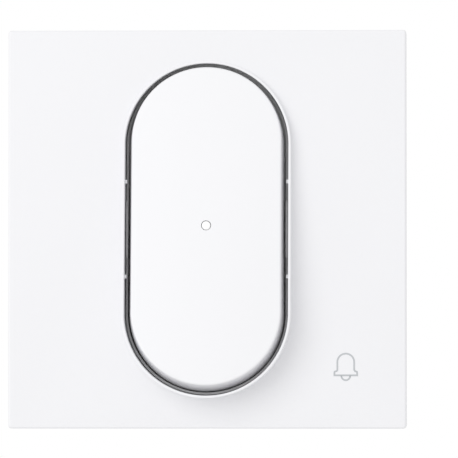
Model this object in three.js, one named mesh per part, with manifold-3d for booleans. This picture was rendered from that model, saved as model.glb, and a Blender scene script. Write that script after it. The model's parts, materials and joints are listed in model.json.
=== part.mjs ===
// Doorbell push button on an 86 mm square wall plate.
// Millimetres. +Z is up, the front faces -Y, +X is to the right seen from the front.
// The origin is the centre of the plate, in the plane of the wall (y = 0).

import * as THREE from 'three';
import { mergeVertices } from 'three/addons/utils/BufferGeometryUtils.js';
import Module from 'manifold-3d';

const wasm = await Module();
wasm.setup();

// ---------------------------------------------------------------- driving sizes

const DEG = Math.PI / 180;

// Shared clearances
const STACK_GAP = 0.1;          // between flat pieces that are screwed together
const TURNED_GAP = 0.3;         // between a tilted piece and its neighbour
const SCREW_GAP = 0.2;          // around the thread of a screw

// Roundness of curved outlines
const ARC_STEPS = 16;           // half the straight steps in each arc of a large outline
const HOLE_STEPS = 7;           // the same for round holes, pegs and posts
const CORNER_STEPS = 2;         // the same for the corners of a rectangle
const TURNING_STEPS = 16;       // steps round a turned piece
const SCREW_STEPS = 12;
const EDGE_STEPS = 3;           // steps across a rounded edge

// Cover plate
const PLATE_SIZE = 86;          // side of the square wall plate
const PLATE_FRONT = 7.5;        // front face, ahead of the wall
const PLATE_WALL_GAP = 0.3;     // rear edge, ahead of the wall
const PLATE_SKIN = 2;           // front wall
const PLATE_SIDE_WALL = 1.8;
const PLATE_CORNER = 0.7;       // corner radius seen from the front
const PLATE_EDGE = 0.5;         // rounding of the front edge
const PEG_RADIUS = 1.6;         // pegs that press into the mounting frame
const PEG_INSET = 9;            // pegs, in from the sides of the plate
const PEG_FIT = 0.2;

// Collar round the button, cut off by a tilted plane
const WELL_WIDTH = 35.3;        // inside of the collar
const WELL_LENGTH = 71.7;
const COLLAR_WALL = 0.55;       // at the rim
const COLLAR_FLARE = 0.15;      // draft of the outside, from the highest rim to the plate
const RIM_TOP = 0.4;            // rim above the plate at the collar's top end
const RIM_TILT = 6 * DEG;       // the rim stands furthest out at the bottom
const RIB_SPACING = 20.5;       // between the two guide ribs on each side
const RIB_WIDTH = 0.8;
const RIB_PROUD = 0.45;
const RIB_BELOW_RIM = 1.5;
const RIB_DEPTH = 1.6;

// Button
const BUTTON_GAP = 0.95;        // between the foot of the skirt and the collar
const FACE_TILT = 7 * DEG;
const FACE_SET_BACK = 0.1;      // top edge of the face behind the rim
const FACE_EDGE = 0.4;          // rounding of the edge of the face
const FACE_SKIN = 1.6;
const SKIRT_WALL = 1.2;         // at the face
const SKIRT_FLARE = 0.6;        // draft of the skirt over its depth
const SKIRT_DEPTH = 6;
const BUTTON_TRAVEL = 1.8;      // of the bottom end when pressed
const SKIRT_FLOOR_GAP = 0.6;    // left under the skirt when pressed
const STAKE_RADIUS = 1.1;       // stakes that hold the carrier in the cap
const STAKE_X = 9.5;
const STAKE_Z = [10, -9];
const STAKE_PAST = 0.6;         // stakes, past the back of the carrier

// Carrier plate inside the button
const CARRIER_FRONT = 3.2;      // behind the face
const CARRIER_PLATE = 1.4;
const CARRIER_GAP = 0.9;        // between the carrier's edge and the inside of the skirt
const CARRIER_BELOW_HINGE = 5;  // upper edge of the plate
const EAR_RADIUS = 2.2;
const EAR_WIDTH = 3;
const EAR_X = 6.2;              // middle of each ear
const EAR_STEM_BEHIND = 0.55;   // rear of an ear's stem, behind the hinge axis
const EAR_STEM_OVERLAP = 2;     // stem, past the upper edge of the plate
const CARRIER_PEG_SHARE = 0.8;  // radius of the carrier's spring pegs, of the floor's
const CARRIER_PEG_HEIGHT = 1;

// Light pipe and pilot light
const LENS_RADIUS = 0.95;
const LENS_GAP = 0.12;
const LENS_RECESS = 0.05;
const PIPE_LENGTH = 7.3;
const PIPE_RADIUS = 1.2;
const PIPE_FLANGE = 1.8;
const PIPE_FLANGE_DEPTH = 0.8;
const PIPE_HOLE_GAP = 0.4;
const BAFFLE_OUTER = 2.7;
const BAFFLE_INNER = 1.8;
const BAFFLE_FRONT = -3.7;
const BAFFLE_HOLE_GAP = 0.3;
const LED_RADIUS = 1.5;
const LED_HEIGHT = 4.4;
const LED_FLANGE = 1.65;
const LED_FLANGE_DEPTH = 0.8;

// Hinge
const HINGE_Y = -4.6;
const HINGE_BELOW_TOP = 10.85;   // below the top of the well
const PIN_RADIUS = 1;
const PIN_GAP = 0.15;
const BRACKET_WIDTH = 2.2;
const BRACKET_HEIGHT = 4.4;
const BRACKET_SIDE_GAP = 0.4;   // between an ear and its bracket
const HINGE_WINDOW_HEIGHT = 6.6;
const PIN_HOLE_END = 3;         // pin hole, in from the sides of the well

// Inner frame: floor under the button and liner inside the collar
const FLOOR_FRONT = -3.9;
const FLOOR_REAR = -2.1;
const FLOOR_WIDTH = 48;
const FLOOR_HEIGHT = 78;
const FLOOR_CORNER = 3;
const LINER_FIT = 0.15;         // between liner and collar
const LINER_WALL = 0.5;
const LINER_BELOW_RIM = 4.6;
const TAB_BELOW_RIM = 3.4;      // raised middle of the liner's long sides
const TAB_LENGTH = 12.3;
const SPRING_X = 8;
const SPRING_ABOVE_FOOT = 15.85; // above the bottom of the well
const SPRING_PEG = 1.6;
const SPRING_PEG_HEIGHT = 2;
const BUMPER_X = 4;
const BUMPER_ABOVE_FOOT = 9.85;
const BUMPER_RADIUS = 2;
const BUMPER_HEIGHT = 2.1;
const BUMPER_CLEAR = 0.7;       // under the carrier when pressed
const BUMPER_EDGE = 0.6;        // depth of the rounded top
const PEDESTAL_EXTRA = 0.4;     // pedestal radius over its bumper's

// Return springs
const COIL_RADIUS = 2.4;
const SPRING_WIRE = 0.3;        // wire radius
const SPRING_TURNS = 4;
const SPRING_STEPS = 48;
const SPRING_END_GAP = 0.75;    // middle of the last turn to the carrier

// Mounting frame
const FRAME_SIZE = 78;
const FRAME_PLATE = 2;
const FRAME_CORNER = 3;
const FRAME_RIM = 1.6;          // width of the raised rim
const FRAME_RIM_HEIGHT = 1.5;
const FIXING_CENTRES = 60.3;    // standard distance between the box screws
const SLOT_WIDTH = 4;
const SLOT_LENGTH = 10;

// Module behind the frame
const MODULE_SIZE = 49.5;
const MODULE_GAP = 0.5;         // between module and mounting frame
const MODULE_CORNER = 2;
const MODULE_REAR = 22;
const MODULE_WALL = 1.75;
const MODULE_LID_FRONT = -2;
const MODULE_LID_REAR = -0.5;
const COLUMN_X = 20.6;          // corner columns that take the module screws
const COLUMN_RADIUS = 3.2;
const HEAD_RECESS = 1.5;        // depth that the module screws' heads sit below the rear
const CABLE_ENTRY_WIDTH = 14;   // opening in the rear wall
const CABLE_ENTRY_HEIGHT = 10;

// Circuit board
const BOARD_FRONT = 9;
const BOARD_THICKNESS = 1.6;
const BOARD_WIDTH = 34;
const BOARD_HEIGHT = 44;
const BOARD_CORNER = 1.5;
const BOARD_POST_X = 14;
const BOARD_POST_Z = 19;
const BOARD_POST_RADIUS = 2;
const RESISTOR = { radius: 1.15, length: 6.3, z: 8 };
const DIODE = { radius: 0.95, length: 4.2, z: 13 };
const AXIAL_STAND = 0.5;        // barrel of an axial part, in front of the board
const AXIAL_SHOULDER = 0.3;     // length of the narrower end of a barrel
const AXIAL_SHOULDER_SHARE = 0.8;
const LEAD_RADIUS = 0.3;
const LEAD_REACH = 1.4;         // bend of a lead, past the end of its barrel

// Switch
const SWITCH_Z = -14;
const SWITCH_SIZE = 13;
const SWITCH_FRONT = 0;
const SWITCH_WELL_WIDTH = 10.4;
const SWITCH_WELL_HEIGHT = 6.4;
const SWITCH_WELL_REAR = 7.4;
const PLUNGER_RADIUS = 1.8;
const PLUNGER_FLANGE = 2.7;
const PLUNGER_TIP = -6.6;
const PLUNGER_HOLE_GAP = 0.4;
const PLUNGER_END = 4.5;
const PLUNGER_NOSE = 0.9;       // depth of the rounded tip
const PLUNGER_FLANGE_DEPTH = 1.2;
const PLUNGER_STEM = 1.6;       // radius behind the flange
const PLUNGER_CHAMFER = 0.3;
const SWITCH_PIN_HOLE = 0.8;    // radius, for the centre contact's pin
const BOSS_RADIUS = 2.4;        // boss of the carrier that presses the plunger
const BLADE_WIDTH = 3;
const BLADE_THICKNESS = 0.3;
const BLADE_ARCH = 0.5;
const BLADE_ENDS = 5.2;         // front of the blade at its two ends
const BLADE_END_GAP = 0.4;      // blade, in from the ends of the switch's well
const LEDGE = 1;                // width of the ledges that the blade rests on
const COMMON_END_GAP = 0.3;     // common contact, in from the ends of the well
const COMMON_THICKNESS = 0.4;
const COMMON_MARGIN = 0.5;      // past the blade on each side
const COMMON_HOLE = 1.7;        // radius, round the centre contact
const CENTRE_RADIUS = 1.4;
const CENTRE_BEHIND_BLADE = 1;  // tip of the centre contact behind the blade's ends
const CENTRE_DOME = 0.4;
const CENTRE_PIN = 0.6;         // radius

// Terminals
const TERMINAL_X = 8;
const TERMINAL_Z = 17;
const TERMINAL_WIDTH = 7;
const TERMINAL_HEIGHT = 8;
const TERMINAL_FRONT = 10.9;
const TERMINAL_REAR = 19.9;
const WIRE_BORE = 1.6;
const WIRE_BORE_Y = 13.9;

// Screws: head radius, head height, shank radius, length under the head
const MODULE_SCREW = { head: 2.5, height: 1.2, shank: 1.3, length: 24 };
const BOX_SCREW = { head: 3.4, height: 2.2, shank: 1.75, length: 25 };
const TERMINAL_SCREW = { head: 2.3, height: 1.5, shank: 1.25, length: 4.2 };

// ---------------------------------------------------------------- worked-out places

const collarWidth = WELL_WIDTH + 2 * COLLAR_WALL;
const collarLength = WELL_LENGTH + 2 * COLLAR_WALL;

// Depth of the rim plane at height z.
function rimY(z) {
  return -(PLATE_FRONT + RIM_TOP + (collarLength / 2 - z) * Math.tan(RIM_TILT));
}

const footWidth = WELL_WIDTH - 2 * BUTTON_GAP;
const footLength = (WELL_LENGTH - 2 * BUTTON_GAP) / Math.cos(FACE_TILT);
const faceWidth = footWidth - 2 * SKIRT_FLARE;
const faceLength = footLength - 2 * SKIRT_FLARE;
const faceZ = SKIRT_DEPTH * Math.sin(FACE_TILT);
const faceTopZ = faceZ + (faceLength / 2) * Math.cos(FACE_TILT);
const faceY = rimY(faceTopZ) + FACE_SET_BACK - (faceLength / 2) * Math.sin(FACE_TILT);
const carrierBack = CARRIER_FRONT + CARRIER_PLATE;
const hingeZ = WELL_LENGTH / 2 - HINGE_BELOW_TOP;
const springZ = SPRING_ABOVE_FOOT - WELL_LENGTH / 2;
const bumperZ = BUMPER_ABOVE_FOOT - WELL_LENGTH / 2;
const pressAngle = BUTTON_TRAVEL / (hingeZ + WELL_LENGTH / 2);

// Depth of the back of the carrier plate at height z, with the button at rest.
function carrierBackY(z) {
  return faceY - (faceZ - z) * Math.tan(FACE_TILT) + carrierBack / Math.cos(FACE_TILT);
}

// The button is drawn in its own frame: its face is the plane y = 0, and z runs up the face.
const button = new THREE.Group();
button.position.set(0, faceY, faceZ);
button.rotation.x = -FACE_TILT;
button.updateMatrixWorld(true);

function inButton(x, y, z) {
  return button.worldToLocal(new THREE.Vector3(x, y, z));
}

const hinge = inButton(0, HINGE_Y, hingeZ);
const carrierTop = hinge.z - CARRIER_BELOW_HINGE;
const pipeEnd = new THREE.Vector3(0, PIPE_LENGTH, 0).applyMatrix4(button.matrixWorld);
const lightZ = pipeEnd.z;
const frontOfBracket = HINGE_Y - BRACKET_HEIGHT / 2;
const bracketX = EAR_X + EAR_WIDTH / 2 + BRACKET_SIDE_GAP + BRACKET_WIDTH / 2;
const linerWidth = WELL_WIDTH - 2 * LINER_FIT;
const linerLength = WELL_LENGTH - 2 * LINER_FIT;
const bumperTop = carrierBackY(bumperZ) + (hingeZ - bumperZ) * pressAngle + BUMPER_CLEAR;
const moduleInside = MODULE_SIZE - 2 * MODULE_WALL;
const moduleFloor = MODULE_REAR - MODULE_WALL;

// ---------------------------------------------------------------- outlines, in x and z

function stadium(width, length) {
  const radius = width / 2;
  const straight = length / 2 - radius;
  const outline = new THREE.Shape();
  outline.absarc(0, straight, radius, 0, Math.PI);
  outline.absarc(0, -straight, radius, Math.PI, 2 * Math.PI);
  return outline;
}

function roundedRectangle(width, height, radius) {
  const x = width / 2 - radius;
  const z = height / 2 - radius;
  const outline = new THREE.Shape();
  outline.absarc(x, z, radius, 0, Math.PI / 2);
  outline.absarc(-x, z, radius, Math.PI / 2, Math.PI);
  outline.absarc(-x, -z, radius, Math.PI, 1.5 * Math.PI);
  outline.absarc(x, -z, radius, 1.5 * Math.PI, 2 * Math.PI);
  return outline;
}

function disc(radius) {
  const outline = new THREE.Shape();
  outline.absarc(0, 0, radius, 0, 2 * Math.PI);
  return outline;
}

// ---------------------------------------------------------------- solids from outlines

// A flat piece of the outline between the depths front and rear.
function slab(outline, front, rear, steps = ARC_STEPS) {
  const geometry = new THREE.ExtrudeGeometry(outline, {
    depth: rear - front,
    bevelEnabled: false,
    curveSegments: steps,
  });
  geometry.rotateX(Math.PI / 2);
  geometry.translate(0, rear, 0);
  return geometry;
}

function round(radius, front, rear, x = 0, z = 0) {
  return slab(disc(radius), front, rear, HOLE_STEPS).translate(x, 0, z);
}

function box(xRange, yRange, zRange) {
  const size = [xRange, yRange, zRange].map(([low, high]) => high - low);
  const middle = [xRange, yRange, zRange].map(([low, high]) => (low + high) / 2);
  return new THREE.BoxGeometry(...size).translate(...middle);
}

// A skin over outlines with equal numbers of points, each at its own depth, closed at both ends.
function loft(sections, steps = ARC_STEPS) {
  const rings = sections.map(({ outline, y }) => {
    const points = outline.getPoints(steps);
    if (points[0].distanceTo(points[points.length - 1]) < 1e-6) points.pop();
    return { points, y };
  });
  const count = rings[0].points.length;
  const positions = rings.flatMap(({ points, y }) => points.flatMap((p) => [p.x, y, p.y]));
  const triangles = [];
  for (let ring = 0; ring + 1 < rings.length; ring += 1) {
    for (let i = 0; i < count; i += 1) {
      const a = ring * count + i;
      const b = ring * count + ((i + 1) % count);
      triangles.push(a, b, a + count, b, b + count, a + count);
    }
  }
  const last = (rings.length - 1) * count;
  for (const [a, b, c] of THREE.ShapeUtils.triangulateShape(rings[0].points, [])) {
    triangles.push(a, c, b);
  }
  for (const [a, b, c] of THREE.ShapeUtils.triangulateShape(rings.at(-1).points, [])) {
    triangles.push(last + a, last + b, last + c);
  }
  const geometry = new THREE.BufferGeometry();
  geometry.setAttribute('position', new THREE.Float32BufferAttribute(positions, 3));
  geometry.setIndex(triangles);
  return geometry;
}

// Sections of a rounded front edge. outlineAt gives the outline for an inset.
function roundedEdge(outlineAt, front, radius) {
  const sections = [];
  for (let step = 0; step <= EDGE_STEPS; step += 1) {
    const angle = (step / EDGE_STEPS) * (Math.PI / 2);
    const outline = outlineAt(radius * (1 - Math.sin(angle)));
    sections.push({ outline, y: front + radius * (1 - Math.cos(angle)) });
  }
  return sections;
}

// A piece turned about a line along Y. The profile is a list of radius and depth.
function turned(profile, x = 0, z = 0, steps = TURNING_STEPS) {
  const points = profile.map(([radius, y]) => new THREE.Vector2(radius, y));
  return new THREE.LatheGeometry(points, steps).translate(x, 0, z);
}

// A round bar along X.
function crossBar(radius, from, to, y, z) {
  const bar = new THREE.CylinderGeometry(radius, radius, to - from, TURNING_STEPS);
  return bar.rotateZ(Math.PI / 2).translate((from + to) / 2, y, z);
}

// A round bar along Z.
function uprightBar(radius, from, to, x, y) {
  const bar = new THREE.CylinderGeometry(radius, radius, to - from, TURNING_STEPS);
  return bar.rotateX(Math.PI / 2).translate(x, y, (from + to) / 2);
}

// ---------------------------------------------------------------- joining and cutting

// A closed solid from a geometry, with its faces pointing out.
function solid(geometry) {
  const bare = geometry.clone();
  bare.deleteAttribute('normal');
  bare.deleteAttribute('uv');
  const merged = mergeVertices(bare);
  const position = merged.getAttribute('position');
  const corner = [0, 1, 2].map(() => new THREE.Vector3());
  const triangles = [];
  let volume = 0;
  for (let i = 0; i < merged.index.count; i += 3) {
    const face = [0, 1, 2].map((k) => merged.index.getX(i + k));
    if (new Set(face).size < 3) continue;
    corner.forEach((point, k) => point.fromBufferAttribute(position, face[k]));
    volume += corner[0].dot(corner[1].clone().cross(corner[2]));
    triangles.push(...face);
  }
  if (volume < 0) triangles.reverse();
  return new wasm.Manifold(new wasm.Mesh({
    numProp: 3,
    vertProperties: new Float32Array(position.array),
    triVerts: new Uint32Array(triangles),
  }));
}

function surface(body) {
  const { vertProperties, triVerts } = body.getMesh();
  const geometry = new THREE.BufferGeometry();
  geometry.setAttribute('position', new THREE.BufferAttribute(vertProperties, 3));
  geometry.setIndex(new THREE.BufferAttribute(triVerts, 1));
  geometry.computeVertexNormals();
  return geometry;
}

function join(first, ...others) {
  return surface(others.reduce((body, other) => body.add(solid(other)), solid(first)));
}

function cut(first, ...others) {
  return surface(others.reduce((body, other) => body.subtract(solid(other)), solid(first)));
}

function common(first, second) {
  return surface(solid(first).intersect(solid(second)));
}

// Everything in front of the rim plane moved back by depth.
function aheadOfRim(depth) {
  const block = box([-PLATE_SIZE, PLATE_SIZE], [-PLATE_SIZE, 0], [-PLATE_SIZE, PLATE_SIZE]);
  return block.rotateX(-RIM_TILT).translate(0, rimY(0) + depth, 0);
}

// The four places at plus and minus x and z.
function corners(x, z) {
  return [[x, z], [-x, z], [-x, -z], [x, -z]];
}

// ---------------------------------------------------------------- finishes and meshes

const FINISHES = {
  whitePlastic: { color: 0xf4f4f6, roughness: 0.45, metalness: 0 },
  greyPlastic: { color: 0x8b8d90, roughness: 0.6, metalness: 0 },
  framePlastic: { color: 0xb9bbbd, roughness: 0.6, metalness: 0 },
  modulePlastic: { color: 0xdcdcd8, roughness: 0.55, metalness: 0 },
  blackPlastic: { color: 0x26272a, roughness: 0.5, metalness: 0 },
  clearPlastic: { color: 0xf6f8fa, roughness: 0.15, metalness: 0 },
  board: { color: 0x2f6b3c, roughness: 0.5, metalness: 0 },
  brass: { color: 0xc8a558, roughness: 0.35, metalness: 1 },
  silver: { color: 0xd2d2d0, roughness: 0.3, metalness: 1 },
  steel: { color: 0xb4b6b8, roughness: 0.35, metalness: 1 },
  rubber: { color: 0x3a3b3d, roughness: 0.85, metalness: 0 },
  resistor: { color: 0xc9b083, roughness: 0.5, metalness: 0 },
};

function piece(name, finish, geometry) {
  const material = new THREE.MeshStandardMaterial({ ...FINISHES[finish], flatShading: true });
  const mesh = new THREE.Mesh(surface(solid(geometry)), material);
  mesh.name = name;
  return mesh;
}

// ---------------------------------------------------------------- cover plate

function coverPlate() {
  const front = -PLATE_FRONT;
  const square = (inset) => {
    const side = PLATE_SIZE - 2 * inset;
    return roundedRectangle(side, side, PLATE_CORNER - inset);
  };
  const block = loft([
    ...roundedEdge(square, front, PLATE_EDGE),
    { outline: square(0), y: -PLATE_WALL_GAP },
  ], CORNER_STEPS);
  const inside = PLATE_SIZE - 2 * PLATE_SIDE_WALL;
  const hollow = slab(roundedRectangle(inside, inside, PLATE_CORNER), front + PLATE_SKIN, 1);

  const highest = rimY(-collarLength / 2);
  const collar = loft([
    { outline: stadium(collarWidth, collarLength), y: highest - 1 },
    {
      outline: stadium(collarWidth + 2 * COLLAR_FLARE, collarLength + 2 * COLLAR_FLARE),
      y: front + PLATE_SKIN / 2,
    },
  ]);
  const well = slab(stadium(WELL_WIDTH, WELL_LENGTH), highest - 2, 1);
  const shell = cut(join(cut(block, hollow), cut(collar, aheadOfRim(0))), well);

  const pegX = PLATE_SIZE / 2 - PEG_INSET;
  const pegs = corners(pegX, pegX).map(([x, z]) => (
    round(PEG_RADIUS, front + PLATE_SKIN / 2, -FRAME_PLATE / 2, x, z)
  ));
  return join(shell, ...pegs, ...guideRibs());
}

// Short ribs on the inside of the collar that centre the button.
function guideRibs() {
  const wall = WELL_WIDTH / 2;
  return corners(wall, RIB_SPACING / 2).map(([x, z]) => {
    const top = rimY(z) + RIB_BELOW_RIM;
    const inner = wall - RIB_PROUD;
    const outer = wall + COLLAR_WALL / 2;
    const xRange = x > 0 ? [inner, outer] : [-outer, -inner];
    return box(xRange, [top, top + RIB_DEPTH], [z - RIB_WIDTH / 2, z + RIB_WIDTH / 2]);
  });
}

// ---------------------------------------------------------------- inner frame

function liner() {
  const outside = stadium(linerWidth, linerLength);
  const inside = stadium(linerWidth - 2 * LINER_WALL, linerLength - 2 * LINER_WALL);
  const foremost = rimY(-collarLength / 2);
  const footing = (FLOOR_FRONT + FLOOR_REAR) / 2;
  const ring = cut(slab(outside, foremost, footing), slab(inside, foremost - 1, footing + 1));
  const half = WELL_WIDTH;
  const middle = box([-half, half], [foremost - 1, footing + 1], [-TAB_LENGTH / 2, TAB_LENGTH / 2]);
  const tabs = cut(common(ring, middle), aheadOfRim(TAB_BELOW_RIM));
  return join(cut(ring, aheadOfRim(LINER_BELOW_RIM)), tabs);
}

function innerFrame() {
  const floor = slab(
    roundedRectangle(FLOOR_WIDTH, FLOOR_HEIGHT, FLOOR_CORNER), FLOOR_FRONT, FLOOR_REAR, CORNER_STEPS,
  );
  const footing = (FLOOR_FRONT + FLOOR_REAR) / 2;
  const brackets = [-bracketX, bracketX].map((x) => box(
    [x - BRACKET_WIDTH / 2, x + BRACKET_WIDTH / 2],
    [frontOfBracket, footing],
    [hingeZ - BRACKET_HEIGHT / 2, hingeZ + BRACKET_HEIGHT / 2],
  ));
  const springPegs = [-SPRING_X, SPRING_X].map((x) => (
    round(SPRING_PEG, FLOOR_FRONT - SPRING_PEG_HEIGHT, footing, x, springZ)
  ));
  const pedestals = [-BUMPER_X, BUMPER_X].map((x) => (
    round(BUMPER_RADIUS + PEDESTAL_EXTRA, bumperTop + BUMPER_HEIGHT + STACK_GAP, footing, x, bumperZ)
  ));
  const whole = join(floor, liner(), ...brackets, ...springPegs, ...pedestals);

  const windowX = EAR_X + EAR_WIDTH / 2 + BRACKET_SIDE_GAP / 2;
  const hingeWindow = box(
    [-windowX, windowX], [FLOOR_FRONT - 1, FLOOR_REAR + 1],
    [hingeZ - HINGE_WINDOW_HEIGHT / 2, hingeZ + HINGE_WINDOW_HEIGHT / 2],
  );
  const pinHoleX = WELL_WIDTH / 2 - PIN_HOLE_END;
  const pinHole = crossBar(PIN_RADIUS + PIN_GAP, -pinHoleX, pinHoleX, HINGE_Y, hingeZ);
  const holes = [
    round(PLUNGER_RADIUS + PLUNGER_HOLE_GAP, FLOOR_FRONT - 1, FLOOR_REAR + 1, 0, SWITCH_Z),
    round(BAFFLE_OUTER + BAFFLE_HOLE_GAP, FLOOR_FRONT - 1, FLOOR_REAR + 1, 0, lightZ),
    ...corners(COLUMN_X, COLUMN_X).map(([x, z]) => (
      round(MODULE_SCREW.shank + SCREW_GAP / 2, FLOOR_FRONT - 1, FLOOR_REAR + 1, x, z)
    )),
  ];
  return cut(whole, hingeWindow, pinHole, ...holes);
}

// ---------------------------------------------------------------- mounting frame

function mountingFrame() {
  const opening = MODULE_SIZE + 2 * MODULE_GAP;
  const outline = roundedRectangle(FRAME_SIZE, FRAME_SIZE, FRAME_CORNER);
  const plate = slab(outline, -FRAME_PLATE, 0, CORNER_STEPS);
  const rimInside = FRAME_SIZE - 2 * FRAME_RIM;
  const rim = cut(
    slab(outline, -FRAME_PLATE - FRAME_RIM_HEIGHT, -FRAME_PLATE / 2, CORNER_STEPS),
    slab(
      roundedRectangle(rimInside, rimInside, FRAME_CORNER - FRAME_RIM),
      -FRAME_PLATE - FRAME_RIM_HEIGHT - 1, 0, CORNER_STEPS,
    ),
    box([-FLOOR_WIDTH / 2 - 1, FLOOR_WIDTH / 2 + 1], [-PLATE_FRONT, 0], [-FRAME_SIZE, FRAME_SIZE]),
  );
  const slot = stadium(SLOT_WIDTH, SLOT_LENGTH);
  const slots = [-1, 1].map((side) => (
    slab(slot, -FRAME_PLATE - 1, 1, HOLE_STEPS).translate(side * FIXING_CENTRES / 2, 0, 0)
  ));
  const pegX = PLATE_SIZE / 2 - PEG_INSET;
  const pegHoles = corners(pegX, pegX).map(([x, z]) => (
    round(PEG_RADIUS + PEG_FIT, -FRAME_PLATE - 1, 1, x, z)
  ));
  const moduleHole = slab(
    roundedRectangle(opening, opening, MODULE_CORNER), -FRAME_PLATE - 1, 1, CORNER_STEPS,
  );
  return cut(join(plate, rim), moduleHole, ...slots, ...pegHoles);
}

// ---------------------------------------------------------------- module

function moduleLid() {
  const outline = roundedRectangle(MODULE_SIZE, MODULE_SIZE, MODULE_CORNER);
  const ahead = MODULE_LID_FRONT - 1;
  const behind = MODULE_LID_REAR + 1;
  return cut(
    slab(outline, MODULE_LID_FRONT, MODULE_LID_REAR, CORNER_STEPS),
    round(PLUNGER_RADIUS + PLUNGER_HOLE_GAP, ahead, behind, 0, SWITCH_Z),
    round(BAFFLE_OUTER + BAFFLE_HOLE_GAP, ahead, behind, 0, lightZ),
    ...corners(COLUMN_X, COLUMN_X).map(([x, z]) => (
      round(MODULE_SCREW.shank + SCREW_GAP, ahead, behind, x, z)
    )),
  );
}

function moduleHousing() {
  const front = MODULE_LID_REAR + STACK_GAP;
  const outline = roundedRectangle(MODULE_SIZE, MODULE_SIZE, MODULE_CORNER);
  const shell = cut(
    slab(outline, front, MODULE_REAR, CORNER_STEPS),
    box(
      [-moduleInside / 2, moduleInside / 2], [front - 1, moduleFloor],
      [-moduleInside / 2, moduleInside / 2],
    ),
  );
  const intoFloor = moduleFloor + MODULE_WALL / 2;
  const columns = corners(COLUMN_X, COLUMN_X).map(([x, z]) => (
    round(COLUMN_RADIUS, front, intoFloor, x, z)
  ));
  const posts = corners(BOARD_POST_X, BOARD_POST_Z).map(([x, z]) => (
    round(BOARD_POST_RADIUS, BOARD_FRONT + BOARD_THICKNESS + STACK_GAP, intoFloor, x, z)
  ));
  const screwHoles = corners(COLUMN_X, COLUMN_X).flatMap(([x, z]) => [
    round(MODULE_SCREW.shank + SCREW_GAP, front - 1, MODULE_REAR + 1, x, z),
    round(MODULE_SCREW.head + SCREW_GAP, MODULE_REAR - HEAD_RECESS, MODULE_REAR + 1, x, z),
  ]);
  const driverHoles = corners(TERMINAL_X, TERMINAL_Z).map(([x, z]) => (
    round(TERMINAL_SCREW.head + SCREW_GAP, moduleFloor - 1, MODULE_REAR + 1, x, z)
  ));
  const wireHoles = [-TERMINAL_X, TERMINAL_X].map((x) => (
    uprightBar(WIRE_BORE + SCREW_GAP, -MODULE_SIZE, MODULE_SIZE, x, WIRE_BORE_Y)
  ));
  const cableEntry = box(
    [-CABLE_ENTRY_WIDTH / 2, CABLE_ENTRY_WIDTH / 2], [moduleFloor - 1, MODULE_REAR + 1],
    [-CABLE_ENTRY_HEIGHT / 2, CABLE_ENTRY_HEIGHT / 2],
  );
  return cut(
    join(shell, ...columns, ...posts), ...screwHoles, ...driverHoles, ...wireHoles, cableEntry,
  );
}

function circuitBoard() {
  const outline = roundedRectangle(BOARD_WIDTH, BOARD_HEIGHT, BOARD_CORNER);
  return slab(outline, BOARD_FRONT, BOARD_FRONT + BOARD_THICKNESS, CORNER_STEPS);
}

// ---------------------------------------------------------------- switch

function switchBody() {
  const rear = BOARD_FRONT - 2 * STACK_GAP;
  const half = SWITCH_SIZE / 2;
  return cut(
    box([-half, half], [SWITCH_FRONT, rear], [SWITCH_Z - half, SWITCH_Z + half]),
    box(
      [-SWITCH_WELL_WIDTH / 2, SWITCH_WELL_WIDTH / 2], [SWITCH_FRONT - 1, SWITCH_WELL_REAR],
      [SWITCH_Z - SWITCH_WELL_HEIGHT / 2, SWITCH_Z + SWITCH_WELL_HEIGHT / 2],
    ),
    round(SWITCH_PIN_HOLE, SWITCH_WELL_REAR - 1, rear + 1, 0, SWITCH_Z),
  );
}

function switchPlunger() {
  const flangeFront = MODULE_LID_REAR + TURNED_GAP;
  const flangeRear = flangeFront + PLUNGER_FLANGE_DEPTH;
  return turned([
    [0, PLUNGER_TIP],
    [PLUNGER_RADIUS * 0.6, PLUNGER_TIP + PLUNGER_NOSE / 4],
    [PLUNGER_RADIUS, PLUNGER_TIP + PLUNGER_NOSE],
    [PLUNGER_RADIUS, flangeFront],
    [PLUNGER_FLANGE, flangeFront],
    [PLUNGER_FLANGE, flangeRear],
    [PLUNGER_STEM, flangeRear],
    [PLUNGER_STEM, PLUNGER_END - PLUNGER_CHAMFER],
    [PLUNGER_STEM - PLUNGER_CHAMFER, PLUNGER_END],
    [0, PLUNGER_END],
  ], 0, SWITCH_Z);
}

// A domed leaf of spring metal. Its middle is pushed back onto the centre contact.
function contactBlade() {
  const half = SWITCH_WELL_WIDTH / 2 - BLADE_END_GAP;
  const outline = new THREE.Shape();
  outline.moveTo(-half, -BLADE_ENDS);
  outline.quadraticCurveTo(0, -BLADE_ENDS + 2 * BLADE_ARCH, half, -BLADE_ENDS);
  outline.lineTo(half, -BLADE_ENDS - BLADE_THICKNESS);
  outline.quadraticCurveTo(
    0, -BLADE_ENDS - BLADE_THICKNESS + 2 * BLADE_ARCH, -half, -BLADE_ENDS - BLADE_THICKNESS,
  );
  const leaf = new THREE.ExtrudeGeometry(outline, {
    depth: BLADE_WIDTH, bevelEnabled: false, curveSegments: 8,
  });
  // The outline's second axis points to the front.
  leaf.applyMatrix4(new THREE.Matrix4().set(
    1, 0, 0, 0,
    0, -1, 0, 0,
    0, 0, -1, SWITCH_Z + BLADE_WIDTH / 2,
    0, 0, 0, 1,
  ));
  return leaf;
}

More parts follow.
